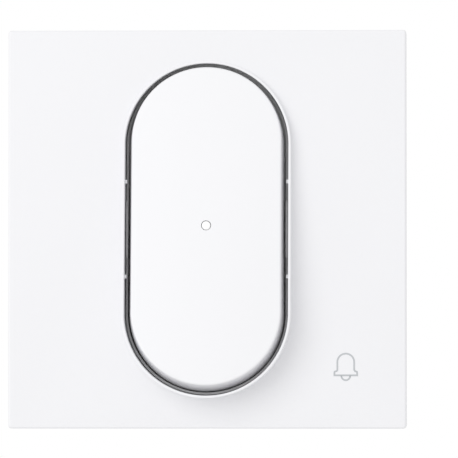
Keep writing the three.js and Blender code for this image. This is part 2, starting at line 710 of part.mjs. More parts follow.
// A flat bar under the blade with a raised ledge at each end and a hole for the centre contact.
function commonContact() {
  const half = SWITCH_WELL_WIDTH / 2 - COMMON_END_GAP;
  const rear = SWITCH_WELL_REAR - STACK_GAP;
  const halfHeight = BLADE_WIDTH / 2 + COMMON_MARGIN;
  const zRange = [SWITCH_Z - halfHeight, SWITCH_Z + halfHeight];
  const ledgeFront = BLADE_ENDS + BLADE_THICKNESS + STACK_GAP;
  return cut(
    join(
      box([-half, half], [rear - COMMON_THICKNESS, rear], zRange),
      box([-half, -half + LEDGE], [ledgeFront, rear], zRange),
      box([half - LEDGE, half], [ledgeFront, rear], zRange),
    ),
    round(COMMON_HOLE, rear - 1, rear + 1, 0, SWITCH_Z),
  );
}

function centreContact() {
  const tip = BLADE_ENDS + CENTRE_BEHIND_BLADE;
  const rear = SWITCH_WELL_REAR - STACK_GAP;
  const pinEnd = BOARD_FRONT - 3 * STACK_GAP;
  return turned([
    [0, tip],
    [CENTRE_RADIUS * 0.7, tip + CENTRE_DOME / 4],
    [CENTRE_RADIUS, tip + CENTRE_DOME],
    [CENTRE_RADIUS, rear],
    [CENTRE_PIN, rear],
    [CENTRE_PIN, pinEnd],
    [0, pinEnd],
  ], 0, SWITCH_Z);
}

// ---------------------------------------------------------------- pilot light

function lightBaffle() {
  const rear = BOARD_FRONT - STACK_GAP;
  return turned([
    [BAFFLE_INNER, BAFFLE_FRONT],
    [BAFFLE_OUTER, BAFFLE_FRONT],
    [BAFFLE_OUTER, rear],
    [BAFFLE_INNER, rear],
    [BAFFLE_INNER, BAFFLE_FRONT],
  ], 0, lightZ);
}

function led() {
  const rear = BOARD_FRONT - STACK_GAP;
  const front = rear - LED_HEIGHT;
  return turned([
    [0, front],
    [LED_RADIUS * 0.5, front + LED_RADIUS * 0.13],
    [LED_RADIUS * 0.87, front + LED_RADIUS * 0.5],
    [LED_RADIUS, front + LED_RADIUS],
    [LED_RADIUS, rear - LED_FLANGE_DEPTH],
    [LED_FLANGE, rear - LED_FLANGE_DEPTH],
    [LED_FLANGE, rear],
    [0, rear],
  ], 0, lightZ);
}

// A barrel with two wires that stand on the board.
function axialPart({ radius, length, z }) {
  const y = BOARD_FRONT - radius - AXIAL_STAND;
  const foot = BOARD_FRONT - STACK_GAP;
  const half = length / 2;
  const reach = half + LEAD_REACH;
  const shoulder = half + AXIAL_SHOULDER;
  return join(
    crossBar(radius, -half, half, y, z),
    crossBar(radius * AXIAL_SHOULDER_SHARE, -shoulder, shoulder, y, z),
    crossBar(LEAD_RADIUS, -reach, reach, y, z),
    round(LEAD_RADIUS, y - LEAD_RADIUS, foot, -reach, z),
    round(LEAD_RADIUS, y - LEAD_RADIUS, foot, reach, z),
  );
}

// ---------------------------------------------------------------- terminals and screws

function terminal(x, z) {
  const half = TERMINAL_WIDTH / 2;
  return cut(
    box(
      [x - half, x + half], [TERMINAL_FRONT, TERMINAL_REAR],
      [z - TERMINAL_HEIGHT / 2, z + TERMINAL_HEIGHT / 2],
    ),
    uprightBar(WIRE_BORE, z - TERMINAL_HEIGHT, z + TERMINAL_HEIGHT, x, WIRE_BORE_Y),
    round(TERMINAL_SCREW.shank + SCREW_GAP, WIRE_BORE_Y, TERMINAL_REAR + 1, x, z),
  );
}

// A pan-head screw whose head stands on the plane y = 0 and whose shank runs along +Y.
function screw({ head, height, shank, length }) {
  const body = turned([
    [0, -height],
    [head * 0.6, -height * 0.95],
    [head * 0.92, -height * 0.6],
    [head, 0],
    [shank, 0],
    [shank, length - shank],
    [0, length],
  ], 0, 0, SCREW_STEPS);
  const reach = head * 0.62;
  const blade = head * 0.13;
  const recess = [-height - 1, -height * 0.45];
  return cut(
    body,
    box([-reach, reach], recess, [-blade, blade]),
    box([-blade, blade], recess, [-reach, reach]),
  );
}

// ---------------------------------------------------------------- button pieces, in its frame

function buttonCap() {
  const face = (inset) => stadium(faceWidth - 2 * inset, faceLength - 2 * inset);
  const outside = loft([
    ...roundedEdge(face, 0, FACE_EDGE),
    { outline: stadium(footWidth, footLength), y: SKIRT_DEPTH },
  ]);
  const inside = slab(face(SKIRT_WALL), FACE_SKIN, SKIRT_DEPTH + 1);
  const stakes = STAKE_Z.flatMap((z) => [-STAKE_X, STAKE_X].map((x) => (
    round(STAKE_RADIUS, FACE_SKIN / 2, carrierBack + STAKE_PAST, x, z)
  )));
  const lensHole = round(LENS_RADIUS + LENS_GAP, -1, FACE_SKIN + 1);

  // When the button is pressed, the foot of the skirt is parallel to the floor.
  const underFoot = box(
    [-PLATE_SIZE, PLATE_SIZE], [0, PLATE_SIZE], [-PLATE_SIZE, PLATE_SIZE],
  );
  underFoot.translate(0, FLOOR_FRONT - SKIRT_FLOOR_GAP - HINGE_Y, 0);
  underFoot.rotateX(-pressAngle).translate(0, HINGE_Y, hingeZ);
  underFoot.applyMatrix4(button.matrixWorld.clone().invert());
  return cut(join(cut(outside, inside), ...stakes), lensHole, underFoot);
}

function lightPipe() {
  const flangeFront = FACE_SKIN + TURNED_GAP;
  return turned([
    [0, LENS_RECESS],
    [LENS_RADIUS, LENS_RECESS],
    [LENS_RADIUS, flangeFront],
    [PIPE_FLANGE, flangeFront],
    [PIPE_FLANGE, flangeFront + PIPE_FLANGE_DEPTH],
    [PIPE_RADIUS, flangeFront + PIPE_FLANGE_DEPTH],
    [PIPE_RADIUS, PIPE_LENGTH],
    [0, PIPE_LENGTH],
  ]);
}

function buttonCarrier() {
  const inset = SKIRT_WALL + CARRIER_GAP;
  const outline = stadium(faceWidth - 2 * inset, faceLength - 2 * inset);
  const above = box([-PLATE_SIZE, PLATE_SIZE], [-1, PLATE_SIZE], [carrierTop, PLATE_SIZE]);
  const plate = cut(slab(outline, CARRIER_FRONT, carrierBack), above);

  const ears = [-EAR_X, EAR_X].flatMap((x) => {
    const from = x - EAR_WIDTH / 2;
    const to = x + EAR_WIDTH / 2;
    return [
      crossBar(EAR_RADIUS, from, to, hinge.y, hinge.z),
      box(
        [from, to],
        [CARRIER_FRONT, hinge.y + EAR_STEM_BEHIND],
        [carrierTop - EAR_STEM_OVERLAP, hinge.z],
      ),
    ];
  });

  const bossEnd = inButton(0, PLUNGER_TIP - TURNED_GAP, SWITCH_Z);
  const boss = turned([
    [0, CARRIER_FRONT + CARRIER_PLATE / 2],
    [BOSS_RADIUS, CARRIER_FRONT + CARRIER_PLATE / 2],
    [BOSS_RADIUS, bossEnd.y - BOSS_RADIUS * 0.6],
    [BOSS_RADIUS * 0.7, bossEnd.y - BOSS_RADIUS * 0.15],
    [0, bossEnd.y],
  ], 0, bossEnd.z);

  const springPegs = [-SPRING_X, SPRING_X].map((x) => {
    const middle = inButton(x, carrierBackY(springZ), springZ);
    const rear = carrierBack + CARRIER_PEG_HEIGHT;
    return round(SPRING_PEG * CARRIER_PEG_SHARE, CARRIER_FRONT + CARRIER_PLATE / 2, rear, x, middle.z);
  });
  const whole = join(plate, ...ears, boss, ...springPegs);
  const stakeHoles = STAKE_Z.flatMap((z) => [-STAKE_X, STAKE_X].map((x) => (
    round(STAKE_RADIUS + TURNED_GAP, CARRIER_FRONT - 1, carrierBack + 1, x, z)
  )));
  return cut(
    whole,
    crossBar(PIN_RADIUS + PIN_GAP, -PLATE_SIZE, PLATE_SIZE, hinge.y, hinge.z),
    round(PIPE_FLANGE + PIPE_HOLE_GAP, CARRIER_FRONT - 1, carrierBack + 1),
    ...stakeHoles,
  );
}

// ---------------------------------------------------------------- springs and bumpers

class Helix extends THREE.Curve {
  constructor(radius, from, to, turns) {
    super();
    Object.assign(this, { radius, from, to, turns });
  }

  getPoint(t, target = new THREE.Vector3()) {
    const angle = 2 * Math.PI * this.turns * t;
    const y = this.from + (this.to - this.from) * t;
    return target.set(this.radius * Math.cos(angle), y, this.radius * Math.sin(angle));
  }
}

function returnSpring(x) {
  const foot = FLOOR_FRONT - SPRING_WIRE - STACK_GAP;
  const path = new Helix(COIL_RADIUS, foot, carrierBackY(springZ) + SPRING_END_GAP, SPRING_TURNS);
  const coil = new THREE.ExtrudeGeometry(disc(SPRING_WIRE), {
    steps: SPRING_STEPS, extrudePath: path, curveSegments: 3, bevelEnabled: false,
  });
  return coil.translate(x, 0, springZ);
}

function stopBumper(x) {
  const rear = bumperTop + BUMPER_HEIGHT;
  return turned([
    [0, bumperTop],
    [BUMPER_RADIUS * 0.6, bumperTop + BUMPER_EDGE / 6],
    [BUMPER_RADIUS, bumperTop + BUMPER_EDGE],
    [BUMPER_RADIUS, rear],
    [0, rear],
  ], x, bumperZ);
}

// ---------------------------------------------------------------- assembly

const doorbell = new THREE.Group();

doorbell.add(
  piece('cover_plate', 'whitePlastic', coverPlate()),
  piece('inner_frame', 'greyPlastic', innerFrame()),
  piece('mounting_frame', 'framePlastic', mountingFrame()),
  piece('module_lid', 'modulePlastic', moduleLid()),
  piece('module_housing', 'modulePlastic', moduleHousing()),
  piece('circuit_board', 'board', circuitBoard()),
  piece('switch_body', 'blackPlastic', switchBody()),
  piece('switch_plunger', 'clearPlastic', switchPlunger()),
  piece('contact_blade', 'silver', contactBlade()),
  piece('common_contact', 'silver', commonContact()),
  piece('centre_contact', 'brass', centreContact()),
  piece('light_baffle', 'whitePlastic', lightBaffle()),
  piece('led', 'clearPlastic', led()),
  piece('led_resistor', 'resistor', axialPart(RESISTOR)),
  piece('led_diode', 'blackPlastic', axialPart(DIODE)),
  piece('hinge_pin', 'steel', crossBar(
    PIN_RADIUS, -bracketX - BRACKET_WIDTH / 2, bracketX + BRACKET_WIDTH / 2, HINGE_Y, hingeZ,
  )),
);

for (const [side, sign] of [['left', -1], ['right', 1]]) {
  doorbell.add(
    piece(`return_spring_${side}`, 'steel', returnSpring(sign * SPRING_X)),
    piece(`stop_bumper_${side}`, 'rubber', stopBumper(sign * BUMPER_X)),
  );
  const boxScrew = piece(`box_screw_${side}`, 'steel', screw(BOX_SCREW));
  boxScrew.position.set(sign * FIXING_CENTRES / 2, -FRAME_PLATE - STACK_GAP, 0);
  doorbell.add(boxScrew);
}

corners(COLUMN_X, COLUMN_X).forEach(([x, z], i) => {
  const moduleScrew = piece(`module_screw_${i + 1}`, 'steel', screw(MODULE_SCREW));
  moduleScrew.position.set(x, MODULE_REAR - HEAD_RECESS + STACK_GAP, z);
  moduleScrew.rotation.x = Math.PI;
  doorbell.add(moduleScrew);
});

corners(TERMINAL_X, TERMINAL_Z).forEach(([x, z], i) => {
  const terminalScrew = piece(`terminal_screw_${i + 1}`, 'steel', screw(TERMINAL_SCREW));
  terminalScrew.position.set(x, TERMINAL_REAR + STACK_GAP, z);
  terminalScrew.rotation.x = Math.PI;
  doorbell.add(piece(`terminal_${i + 1}`, 'brass', terminal(x, z)), terminalScrew);
});

button.add(
  piece('button_cap', 'whitePlastic', buttonCap()),
  piece('button_carrier', 'framePlastic', buttonCarrier()),
  piece('light_pipe', 'clearPlastic', lightPipe()),
);
doorbell.add(button);

export default doorbell;
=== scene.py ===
# %% [markdown]
# # A doorbell push button, from its frame to its finish
#
# The object is the push button of a doorbell: a white square plate that covers a wall box, with a
# tall round-ended button in a collar. The collar is cut off at a slant, so it is almost level with
# the plate at the top and stands well out at the bottom. A mechanical model of it already exists,
# and it fixes every size and every place. This lesson builds the fine surfaces round that model.
#
# We start by loading the mechanical model, whose pieces give their boxes through part_box.

# %% Load the mechanical model
import json
import math

import bpy
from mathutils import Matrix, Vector


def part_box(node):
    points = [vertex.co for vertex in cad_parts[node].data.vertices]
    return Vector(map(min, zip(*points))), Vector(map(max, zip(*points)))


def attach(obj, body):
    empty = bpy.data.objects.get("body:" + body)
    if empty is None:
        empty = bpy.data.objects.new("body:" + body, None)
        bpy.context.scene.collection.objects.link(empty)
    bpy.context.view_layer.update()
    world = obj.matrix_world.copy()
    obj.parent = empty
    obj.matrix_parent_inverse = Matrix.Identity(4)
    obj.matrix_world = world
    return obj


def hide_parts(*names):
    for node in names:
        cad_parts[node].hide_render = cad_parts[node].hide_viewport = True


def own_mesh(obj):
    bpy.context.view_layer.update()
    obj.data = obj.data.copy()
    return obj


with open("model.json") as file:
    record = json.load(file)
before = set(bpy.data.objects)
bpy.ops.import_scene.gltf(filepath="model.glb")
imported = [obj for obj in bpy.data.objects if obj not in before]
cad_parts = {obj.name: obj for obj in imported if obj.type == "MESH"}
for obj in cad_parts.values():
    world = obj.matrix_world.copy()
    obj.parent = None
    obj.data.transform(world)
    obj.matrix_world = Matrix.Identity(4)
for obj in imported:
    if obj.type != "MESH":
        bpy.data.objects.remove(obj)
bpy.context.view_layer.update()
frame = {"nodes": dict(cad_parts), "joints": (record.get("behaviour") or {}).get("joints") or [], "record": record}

MM = 0.001
CLOSE = 0.01 * MM
FACING = 0.99
nodes = frame["nodes"]
print("pieces in the mechanical model:", len(nodes))

# %% [markdown]
# Flat faces of the mechanical model tell us where things are. The front of the plate, the slanted
# rim of the collar and the face of the button are each the largest flat face that looks a certain
# way, so one helper can measure all three: it gives the middle of the face and its normal.

# %% Measure the flat faces that everything else is placed from
def flat_face(node, looks_along, least):
    polygons = [p for p in nodes[node].data.polygons if p.normal.dot(looks_along) > least]
    largest = max(polygons, key=lambda p: p.area)
    flat = [p for p in polygons if abs((p.center - largest.center).dot(largest.normal)) < CLOSE]
    points = [nodes[node].data.vertices[i].co for p in flat for i in p.vertices]
    low = Vector(min(p[axis] for p in points) for axis in range(3))
    high = Vector(max(p[axis] for p in points) for axis in range(3))
    return (low + high) / 2, largest.normal.copy()


FRONTWARDS = Vector((0, -1, 0))
SLANTED = Vector((0, -1, 0.1)).normalized()

plate_middle = flat_face("cover_plate", FRONTWARDS, 0.9999)[0]
rim_middle, rim_normal = flat_face("cover_plate", SLANTED, 0.9995)
face_middle, face_normal = flat_face("button_cap", FRONTWARDS, 0.9)
face_tilt = math.atan2(face_normal.z, -face_normal.y)
print("front of the plate at", round(plate_middle.y / MM, 2), "mm")
print("rim slants by", round(math.degrees(math.atan2(rim_normal.z, -rim_normal.y)), 2), "degrees")
print("button leans by", round(math.degrees(face_tilt), 2), "degrees")

# %% [markdown]
# ## Camera, light and floor
#
# The plate is looked at almost straight from the front, from two degrees to the right and a little
# from below, with a long lens, as such plates are shown in catalogues. A long lens keeps the
# square square, and the small turn shows a thread of the plate's right and lower sides.

# %% Camera
CAMERA_DISTANCE = 1.2
CAMERA_RIGHT = math.radians(2.3)
CAMERA_BELOW = math.radians(1.4)
VIEW_WIDTH = 98.83 * MM
VIEW_MIDDLE = Vector((4.75 * MM, plate_middle.y, 0.05 * MM))
SENSOR_WIDTH = 36
NEAREST_SEEN = 0.01
FARTHEST_SEEN = 20

camera_data = bpy.data.cameras.new("camera")
camera_data.sensor_width = SENSOR_WIDTH
camera_data.lens = SENSOR_WIDTH * CAMERA_DISTANCE / VIEW_WIDTH
camera_data.clip_start = NEAREST_SEEN
camera_data.clip_end = FARTHEST_SEEN
camera = bpy.data.objects.new("camera", camera_data)
towards_camera = Vector((math.tan(CAMERA_RIGHT), -1, -math.tan(CAMERA_BELOW))).normalized()
camera.location = VIEW_MIDDLE + towards_camera * CAMERA_DISTANCE
camera.rotation_euler = towards_camera.to_track_quat("Z", "Y").to_euler()
bpy.context.scene.collection.objects.link(camera)
bpy.context.scene.camera = camera
print("lens", round(camera_data.lens, 1), "mm")

# %% [markdown]
# The light is a bright even surrounding with one large soft lamp high on the left. The surrounding
# keeps the white plastic white, and the lamp gives the collar its soft shadow to the lower right.
# A sun lamp with a wide angle is as even over the plate as a soft box that stands far away.

# %% Light
SURROUNDING = 0.835
LAMP_STRENGTH = 0.8
LAMP_ANGLE = math.radians(50)
LAMP_DIRECTION = Vector((-0.62, -1.0, 0.32))

bpy.context.scene.view_settings.view_transform = "Standard"
world = bpy.data.worlds.new("studio")
bpy.context.scene.world = world
world.use_nodes = True
world_tree = world.node_tree
world_tree.nodes.clear()
ray = world_tree.nodes.new("ShaderNodeLightPath")
brightness = world_tree.nodes.new("ShaderNodeMix")
background = world_tree.nodes.new("ShaderNodeBackground")
world_output = world_tree.nodes.new("ShaderNodeOutputWorld")
brightness.data_type = "FLOAT"
brightness.inputs["A"].default_value = SURROUNDING
brightness.inputs["B"].default_value = 1.0
background.inputs["Color"].default_value = (1.0, 1.0, 1.0, 1.0)
world_tree.links.new(ray.outputs["Is Camera Ray"], brightness.inputs["Factor"])
world_tree.links.new(brightness.outputs["Result"], background.inputs["Strength"])
world_tree.links.new(background.outputs["Background"], world_output.inputs["Surface"])

lamp_data = bpy.data.lights.new("key_lamp", "SUN")
lamp_data.energy = LAMP_STRENGTH
lamp_data.angle = LAMP_ANGLE
key_lamp = bpy.data.objects.new("key_lamp", lamp_data)
key_lamp.rotation_euler = LAMP_DIRECTION.to_track_quat("Z", "Y").to_euler()
bpy.context.scene.collection.objects.link(key_lamp)
print("lamp:", key_lamp.name)

# %% [markdown]
# ## Working by hand
#
# Each new piece starts from a primitive at its real size and place and is shaped in edit mode. The
# helpers below do what a modeller's hands do: clear the selection, pick faces, edges or points by
# where they are, cut one piece with another, and put the finished place into the mesh.

# %% Helpers for picking and cutting
def deselect():
    bpy.ops.object.select_all(action="DESELECT")


def named(name):
    piece = bpy.context.object
    piece.name = name
    piece.data.name = name
    return piece


def pick(piece, kind, test):
    """Goes into edit mode with the faces, edges or points selected that pass the test."""
    mesh = piece.data
    bpy.ops.object.mode_set(mode="EDIT")
    bpy.ops.mesh.select_mode(type=kind)
    bpy.ops.mesh.select_all(action="DESELECT")
    bpy.ops.object.mode_set(mode="OBJECT")
    if kind == "FACE":
        for polygon in mesh.polygons:
            polygon.select = test(polygon.center, polygon.normal)
    elif kind == "EDGE":
        for edge in mesh.edges:
            edge.select = test(*[mesh.vertices[i].co for i in edge.vertices])
    else:
        for point in mesh.vertices:
            point.select = test(point.co)
    bpy.ops.object.mode_set(mode="EDIT")


def stop_editing():
    bpy.ops.object.mode_set(mode="OBJECT")


def make_active(piece):
    deselect()
    piece.select_set(True)
    bpy.context.view_layer.objects.active = piece


def cut_or_join(piece, tool, operation):
    modifier = piece.modifiers.new(operation.lower(), "BOOLEAN")
    modifier.operation = operation
    modifier.object = tool
    modifier.solver = "EXACT"
    make_active(piece)
    bpy.ops.object.modifier_apply(modifier=modifier.name)
    bpy.data.objects.remove(tool)


def settle(piece):
    """Puts the piece's place and turn into its mesh, so that its object sits at the origin."""
    make_active(piece)
    bpy.ops.object.transform_apply(location=True, rotation=True, scale=True)


def smooth(piece, degrees=35):
    make_active(piece)
    bpy.ops.object.shade_smooth_by_angle(angle=math.radians(degrees))


NEW_PIECES = {}


def hand_over(piece, body, slot, *replaced):
    """Puts a finished piece on its body, records the name of its finish and hides the nodes that it stands for."""
    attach(piece, body)
    if replaced:
        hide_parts(*replaced)
    NEW_PIECES[piece] = slot


deselect()
print("helpers ready")

# %% [markdown]
# The button, the collar and the liner share one outline: a circle pulled apart into a tall shape
# with round ends. A cylinder whose number of sides leaves a remainder of two when divided by four
# has a point at its top and bottom but none at its sides, so its halves part cleanly.

# %% Round bars and round-ended blocks
ROUND_STEPS = 98
HOLE_STEPS = 40


def bar(name, radius, front, back, x=0.0, z=0.0, steps=HOLE_STEPS):
    deselect()
    bpy.ops.mesh.primitive_cylinder_add(
        vertices=steps, radius=radius, depth=back - front,
        location=(x, (front + back) / 2, z), rotation=(math.pi / 2, 0, 0),
    )
    piece = named(name)
    settle(piece)
    return piece


def pull_apart(piece, distance):
    for side in (1, -1):
        pick(piece, "VERT", lambda point: point.z * side > 0)
        bpy.ops.transform.translate(value=(0, 0, side * distance))
        stop_editing()


def tall_block(name, width, length, front, back):
    piece = bar(name, width / 2, front, back, steps=ROUND_STEPS)
    pull_apart(piece, (length - width) / 2)
    return piece


def box(name, low, high):
    deselect()
    low, high = Vector(low), Vector(high)
    bpy.ops.mesh.primitive_cube_add(size=1, location=(low + high) / 2, scale=high - low)
    piece = named(name)
    settle(piece)
    return piece


print("outlines have", ROUND_STEPS, "points")

# %% [markdown]
# ## The cover plate
#
# The real plate is one moulding: a shallow square tray with the collar growing out of its front.
# The tray starts as a cube. Its back is inset and pushed in first, to leave the skin and the side
# walls, because an inset on bevelled corners would cross itself. Then its upright corners are
# bevelled, and last its front edge.

# %% The tray of the cover plate
PLATE_CORNER = 0.7 * MM
PLATE_EDGE = 0.5 * MM
PLATE_SKIN = 2.0 * MM
SIDE_WALL = 1.8 * MM

plate_low, plate_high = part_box("cover_plate")
plate_front = plate_middle.y
plate_back = plate_high.y
skin_back = plate_front + PLATE_SKIN

plate = box("plate", (plate_low.x, plate_front, plate_low.z), (plate_high.x, plate_back, plate_high.z))
pick(plate, "FACE", lambda middle, normal: normal.y > FACING)
bpy.ops.mesh.inset(thickness=SIDE_WALL)
bpy.ops.mesh.extrude_region_move(TRANSFORM_OT_translate={"value": (0, skin_back - plate_back, 0)})
stop_editing()
pick(plate, "EDGE", lambda a, b: abs(a.y - b.y) > MM)
bpy.ops.mesh.bevel(offset=PLATE_CORNER, segments=4, affect="EDGES")
stop_editing()
pick(plate, "EDGE", lambda a, b: max(a.y, b.y) < plate_front + CLOSE)
bpy.ops.mesh.bevel(offset=PLATE_EDGE, segments=5, affect="EDGES")
stop_editing()
print("tray:", len(plate.data.polygons), "faces")

# %% [markdown]
# The collar is a tube with round ends that goes right through the skin. A block of the outer shape
# is sliced along the rim plane, both ends are inset by the thickness of the lip, and bridging the
# two inner faces opens the tube. The slanted lip gets a small bevel on both of its edges.

# %% Slanted tubes
def on_plane(point, middle, normal):
    return abs((point - middle).dot(normal)) < CLOSE


def slanted_tube(name, width, length, wall, middle, back, edge):
    """A round-ended tube whose front is cut along the plane through middle, parallel to the rim."""
    tube = tall_block(name, width, length, 2 * plate_low.y, back)
    pick(tube, "FACE", lambda centre, normal: True)
    bpy.ops.mesh.bisect(plane_co=middle, plane_no=rim_normal, use_fill=True, clear_outer=True)
    stop_editing()
    pick(tube, "FACE", lambda centre, normal: abs(normal.dot(rim_normal)) > FACING)
    bpy.ops.mesh.inset(thickness=wall)
    bpy.ops.mesh.bridge_edge_loops()
    stop_editing()
    straight = (length - width) / 2

    def out_from_middle(point):
        return math.hypot(point.x, max(abs(point.z) - straight, 0))

    pick(tube, "EDGE", lambda a, b: on_plane(a, middle, rim_normal) and on_plane(b, middle, rim_normal)
         and abs(out_from_middle(a) - out_from_middle(b)) < wall / 4)
    bpy.ops.mesh.bevel(offset=edge, segments=3, affect="EDGES")
    stop_editing()
    return tube


# %% [markdown]
# The collar itself is one such tube. Its inside is the well that the button sits in, and its wall is
# only as thick as the narrow lip that one sees from the front.

# %% The collar
WELL_WIDTH = 35.3 * MM
WELL_LENGTH = 71.7 * MM
LIP = 0.55 * MM
LIP_EDGE = 0.16 * MM

collar = slanted_tube(
    "collar", WELL_WIDTH + 2 * LIP, WELL_LENGTH + 2 * LIP, LIP, rim_middle, skin_back, LIP_EDGE)
print("collar:", len(collar.data.polygons), "faces")

# %% [markdown]
# The tray gets a hole that ends in the middle of the tube's wall, and then the two are united. The
# crossing surfaces meet inside the wall, so the union leaves one clean moulding.
#
# On the inside of the collar, four short ribs keep the button centred, and behind the corners four
# pegs press into the mounting frame. They are small blocks and bars that are united with the rest.

# %% Unite tray, collar, ribs and pegs
RIB_SPACING = 20.5 * MM
RIB_WIDTH = 0.8 * MM
RIB_PROUD = 0.45 * MM
RIB_BELOW_RIM = 1.5 * MM
RIB_DEPTH = 1.6 * MM
PEG_INSET = 9 * MM
PEG_RADIUS = 1.6 * MM
PEG_END = -1 * MM
LEFT_AND_RIGHT = (-1, 1)


def at_corners(x, z):
    return [(side * x, level * z) for side in LEFT_AND_RIGHT for level in LEFT_AND_RIGHT]


def rim_depth(z):
    return rim_middle.y + (z - rim_middle.z) * rim_normal.z / -rim_normal.y


hole = tall_block("hole", WELL_WIDTH + LIP, WELL_LENGTH + LIP, plate_low.y, plate_back + MM)
cut_or_join(plate, hole, "DIFFERENCE")
cut_or_join(plate, collar, "UNION")
for x, z in at_corners(WELL_WIDTH / 2, RIB_SPACING / 2):
    inwards = -math.copysign(RIB_PROUD, x)
    outwards = math.copysign(LIP / 2, x)
    near, far = sorted((x + inwards, x + outwards))
    top = rim_depth(z) + RIB_BELOW_RIM
    rib = box("rib", (near, top, z - RIB_WIDTH / 2), (far, top + RIB_DEPTH, z + RIB_WIDTH / 2))
    cut_or_join(plate, rib, "UNION")
for x, z in at_corners(plate_high.x - PEG_INSET, plate_high.z - PEG_INSET):
    peg = bar("peg", PEG_RADIUS, skin_back - PLATE_SKIN / 2, PEG_END, x, z)
    cut_or_join(plate, peg, "UNION")
smooth(plate)
print("plate:", len(plate.data.polygons), "faces")

hand_over(plate, "station", "plate_plastic", "cover_plate")

# %% [markdown]
# ## The button
#
# The real button is a thin shell with a flat face and a skirt that spreads a little towards its
# foot, so that it comes out of its mould. The block starts at the foot. Its front face is inset and
# brought forward in one step, which makes the spreading skirt, and the edge of the face is rounded.
# The room inside is cut with a smaller block, because the inside of a moulding has its own draft.

# %% The button cap
FOOT_WIDTH = 33.4 * MM
FOOT_LENGTH = 70.32 * MM
SKIRT_DEPTH = 6 * MM
SKIRT_FLARE = 0.6 * MM
FACE_EDGE = 0.4 * MM
FACE_SKIN = 1.6 * MM
SKIRT_WALL = 1.2 * MM
LENS_HOLE = 1.07 * MM
STAKE_RADIUS = 1.1 * MM
STAKE_X = 9.5 * MM
STAKE_LEVELS = (10 * MM, -9 * MM)
STAKE_END = 5.2 * MM

cap = tall_block("cap", FOOT_WIDTH, FOOT_LENGTH, SKIRT_DEPTH, SKIRT_DEPTH + MM)
pick(cap, "FACE", lambda middle, normal: normal.y < -FACING)
bpy.ops.mesh.inset(thickness=SKIRT_FLARE, depth=SKIRT_DEPTH)
stop_editing()
pick(cap, "EDGE", lambda a, b: max(a.y, b.y) < CLOSE)
bpy.ops.mesh.bevel(offset=FACE_EDGE, segments=5, affect="EDGES")
stop_editing()
room_inset = 2 * (SKIRT_FLARE + SKIRT_WALL)
room = tall_block(
    "room", FOOT_WIDTH - room_inset, FOOT_LENGTH - room_inset, FACE_SKIN, SKIRT_DEPTH + 2 * MM)
cut_or_join(cap, room, "DIFFERENCE")
cut_or_join(cap, bar("lens_hole", LENS_HOLE, -MM, FACE_SKIN + MM), "DIFFERENCE")
for side in LEFT_AND_RIGHT:
    for level in STAKE_LEVELS:
        stake = bar("stake", STAKE_RADIUS, FACE_SKIN / 2, STAKE_END, side * STAKE_X, level)
        cut_or_join(cap, stake, "UNION")
print("cap:", len(cap.data.polygons), "faces")

# %% [markdown]
# The button leans by the angle that was measured above. Its finished shell is turned and put in
# place, and then the foot of the skirt is sliced off along a plane that stays clear of the floor
# when the button is pressed in.

# %% Put the cap in place
FOOT_PLANE_DEPTH = -4.5 * MM

hinge = next(joint for joint in frame["joints"] if joint["name"] == "button_press")
hinge_place = Vector(hinge["pos_m"])
press_angle = math.radians(hinge["range_deg"][1])


def place_on_button(piece):
    piece.location = face_middle
    piece.rotation_euler = (-face_tilt, 0, 0)
    settle(piece)


place_on_button(cap)
pick(cap, "FACE", lambda middle, normal: True)
bpy.ops.mesh.bisect(
    plane_co=(0, FOOT_PLANE_DEPTH, hinge_place.z), plane_no=(0, 1, -math.tan(press_angle)),
    use_fill=True, clear_outer=True)
stop_editing()
smooth(cap)
hand_over(cap, "button", "button_plastic", "button_cap")

# %% [markdown]
# ## The light window
#
# A small clear rod carries the pilot light to a window in the middle of the face. It is a stack of
# three round bars that are united: the lens, a flange that stops it from falling out, and the rod.
# The outer end gets a small bevel in several steps, which makes it a shallow dome.

# %% The light pipe
LENS_RADIUS = 0.95 * MM
LENS_RECESS = 0.05 * MM
LENS_DOME = 0.12 * MM
FLANGE_FRONT = 1.9 * MM
FLANGE_RADIUS = 1.8 * MM
FLANGE_DEPTH = 0.8 * MM
PIPE_RADIUS = 1.2 * MM
PIPE_LENGTH = 7.3 * MM
PIPE_EDGE = 0.1 * MM
PIPE_OVERLAP = 0.1 * MM
PIPE_STEPS = 48


def is_ring_at(y):
    return lambda a, b: abs(a.y - y) < CLOSE and abs(b.y - y) < CLOSE


flange_back = FLANGE_FRONT + FLANGE_DEPTH
rod_front = FLANGE_FRONT + FLANGE_DEPTH / 2
pipe = bar("pipe", LENS_RADIUS, LENS_RECESS, FLANGE_FRONT + PIPE_OVERLAP, steps=PIPE_STEPS)
flange = bar("flange", FLANGE_RADIUS, FLANGE_FRONT, flange_back, steps=PIPE_STEPS)
cut_or_join(pipe, flange, "UNION")
cut_or_join(pipe, bar("rod", PIPE_RADIUS, rod_front, PIPE_LENGTH, steps=PIPE_STEPS), "UNION")
pick(pipe, "EDGE", is_ring_at(LENS_RECESS))
bpy.ops.mesh.bevel(offset=LENS_DOME, segments=4, affect="EDGES")
stop_editing()
pick(pipe, "EDGE", is_ring_at(PIPE_LENGTH))
bpy.ops.mesh.bevel(offset=PIPE_EDGE, segments=2, affect="EDGES")
stop_editing()
place_on_button(pipe)
smooth(pipe)
hand_over(pipe, "button", "lens_plastic", "light_pipe")
print("pipe:", len(pipe.data.polygons), "faces")

# %% [markdown]
# ## The inner frame
#
# Behind the button sits a grey moulding: a floor with a liner that stands up inside the collar. The
# liner is what one sees down in the gap round the button, so it gets the same fine outline as the
# collar. Its long sides are a little higher in the middle, where they carry the button's guides.

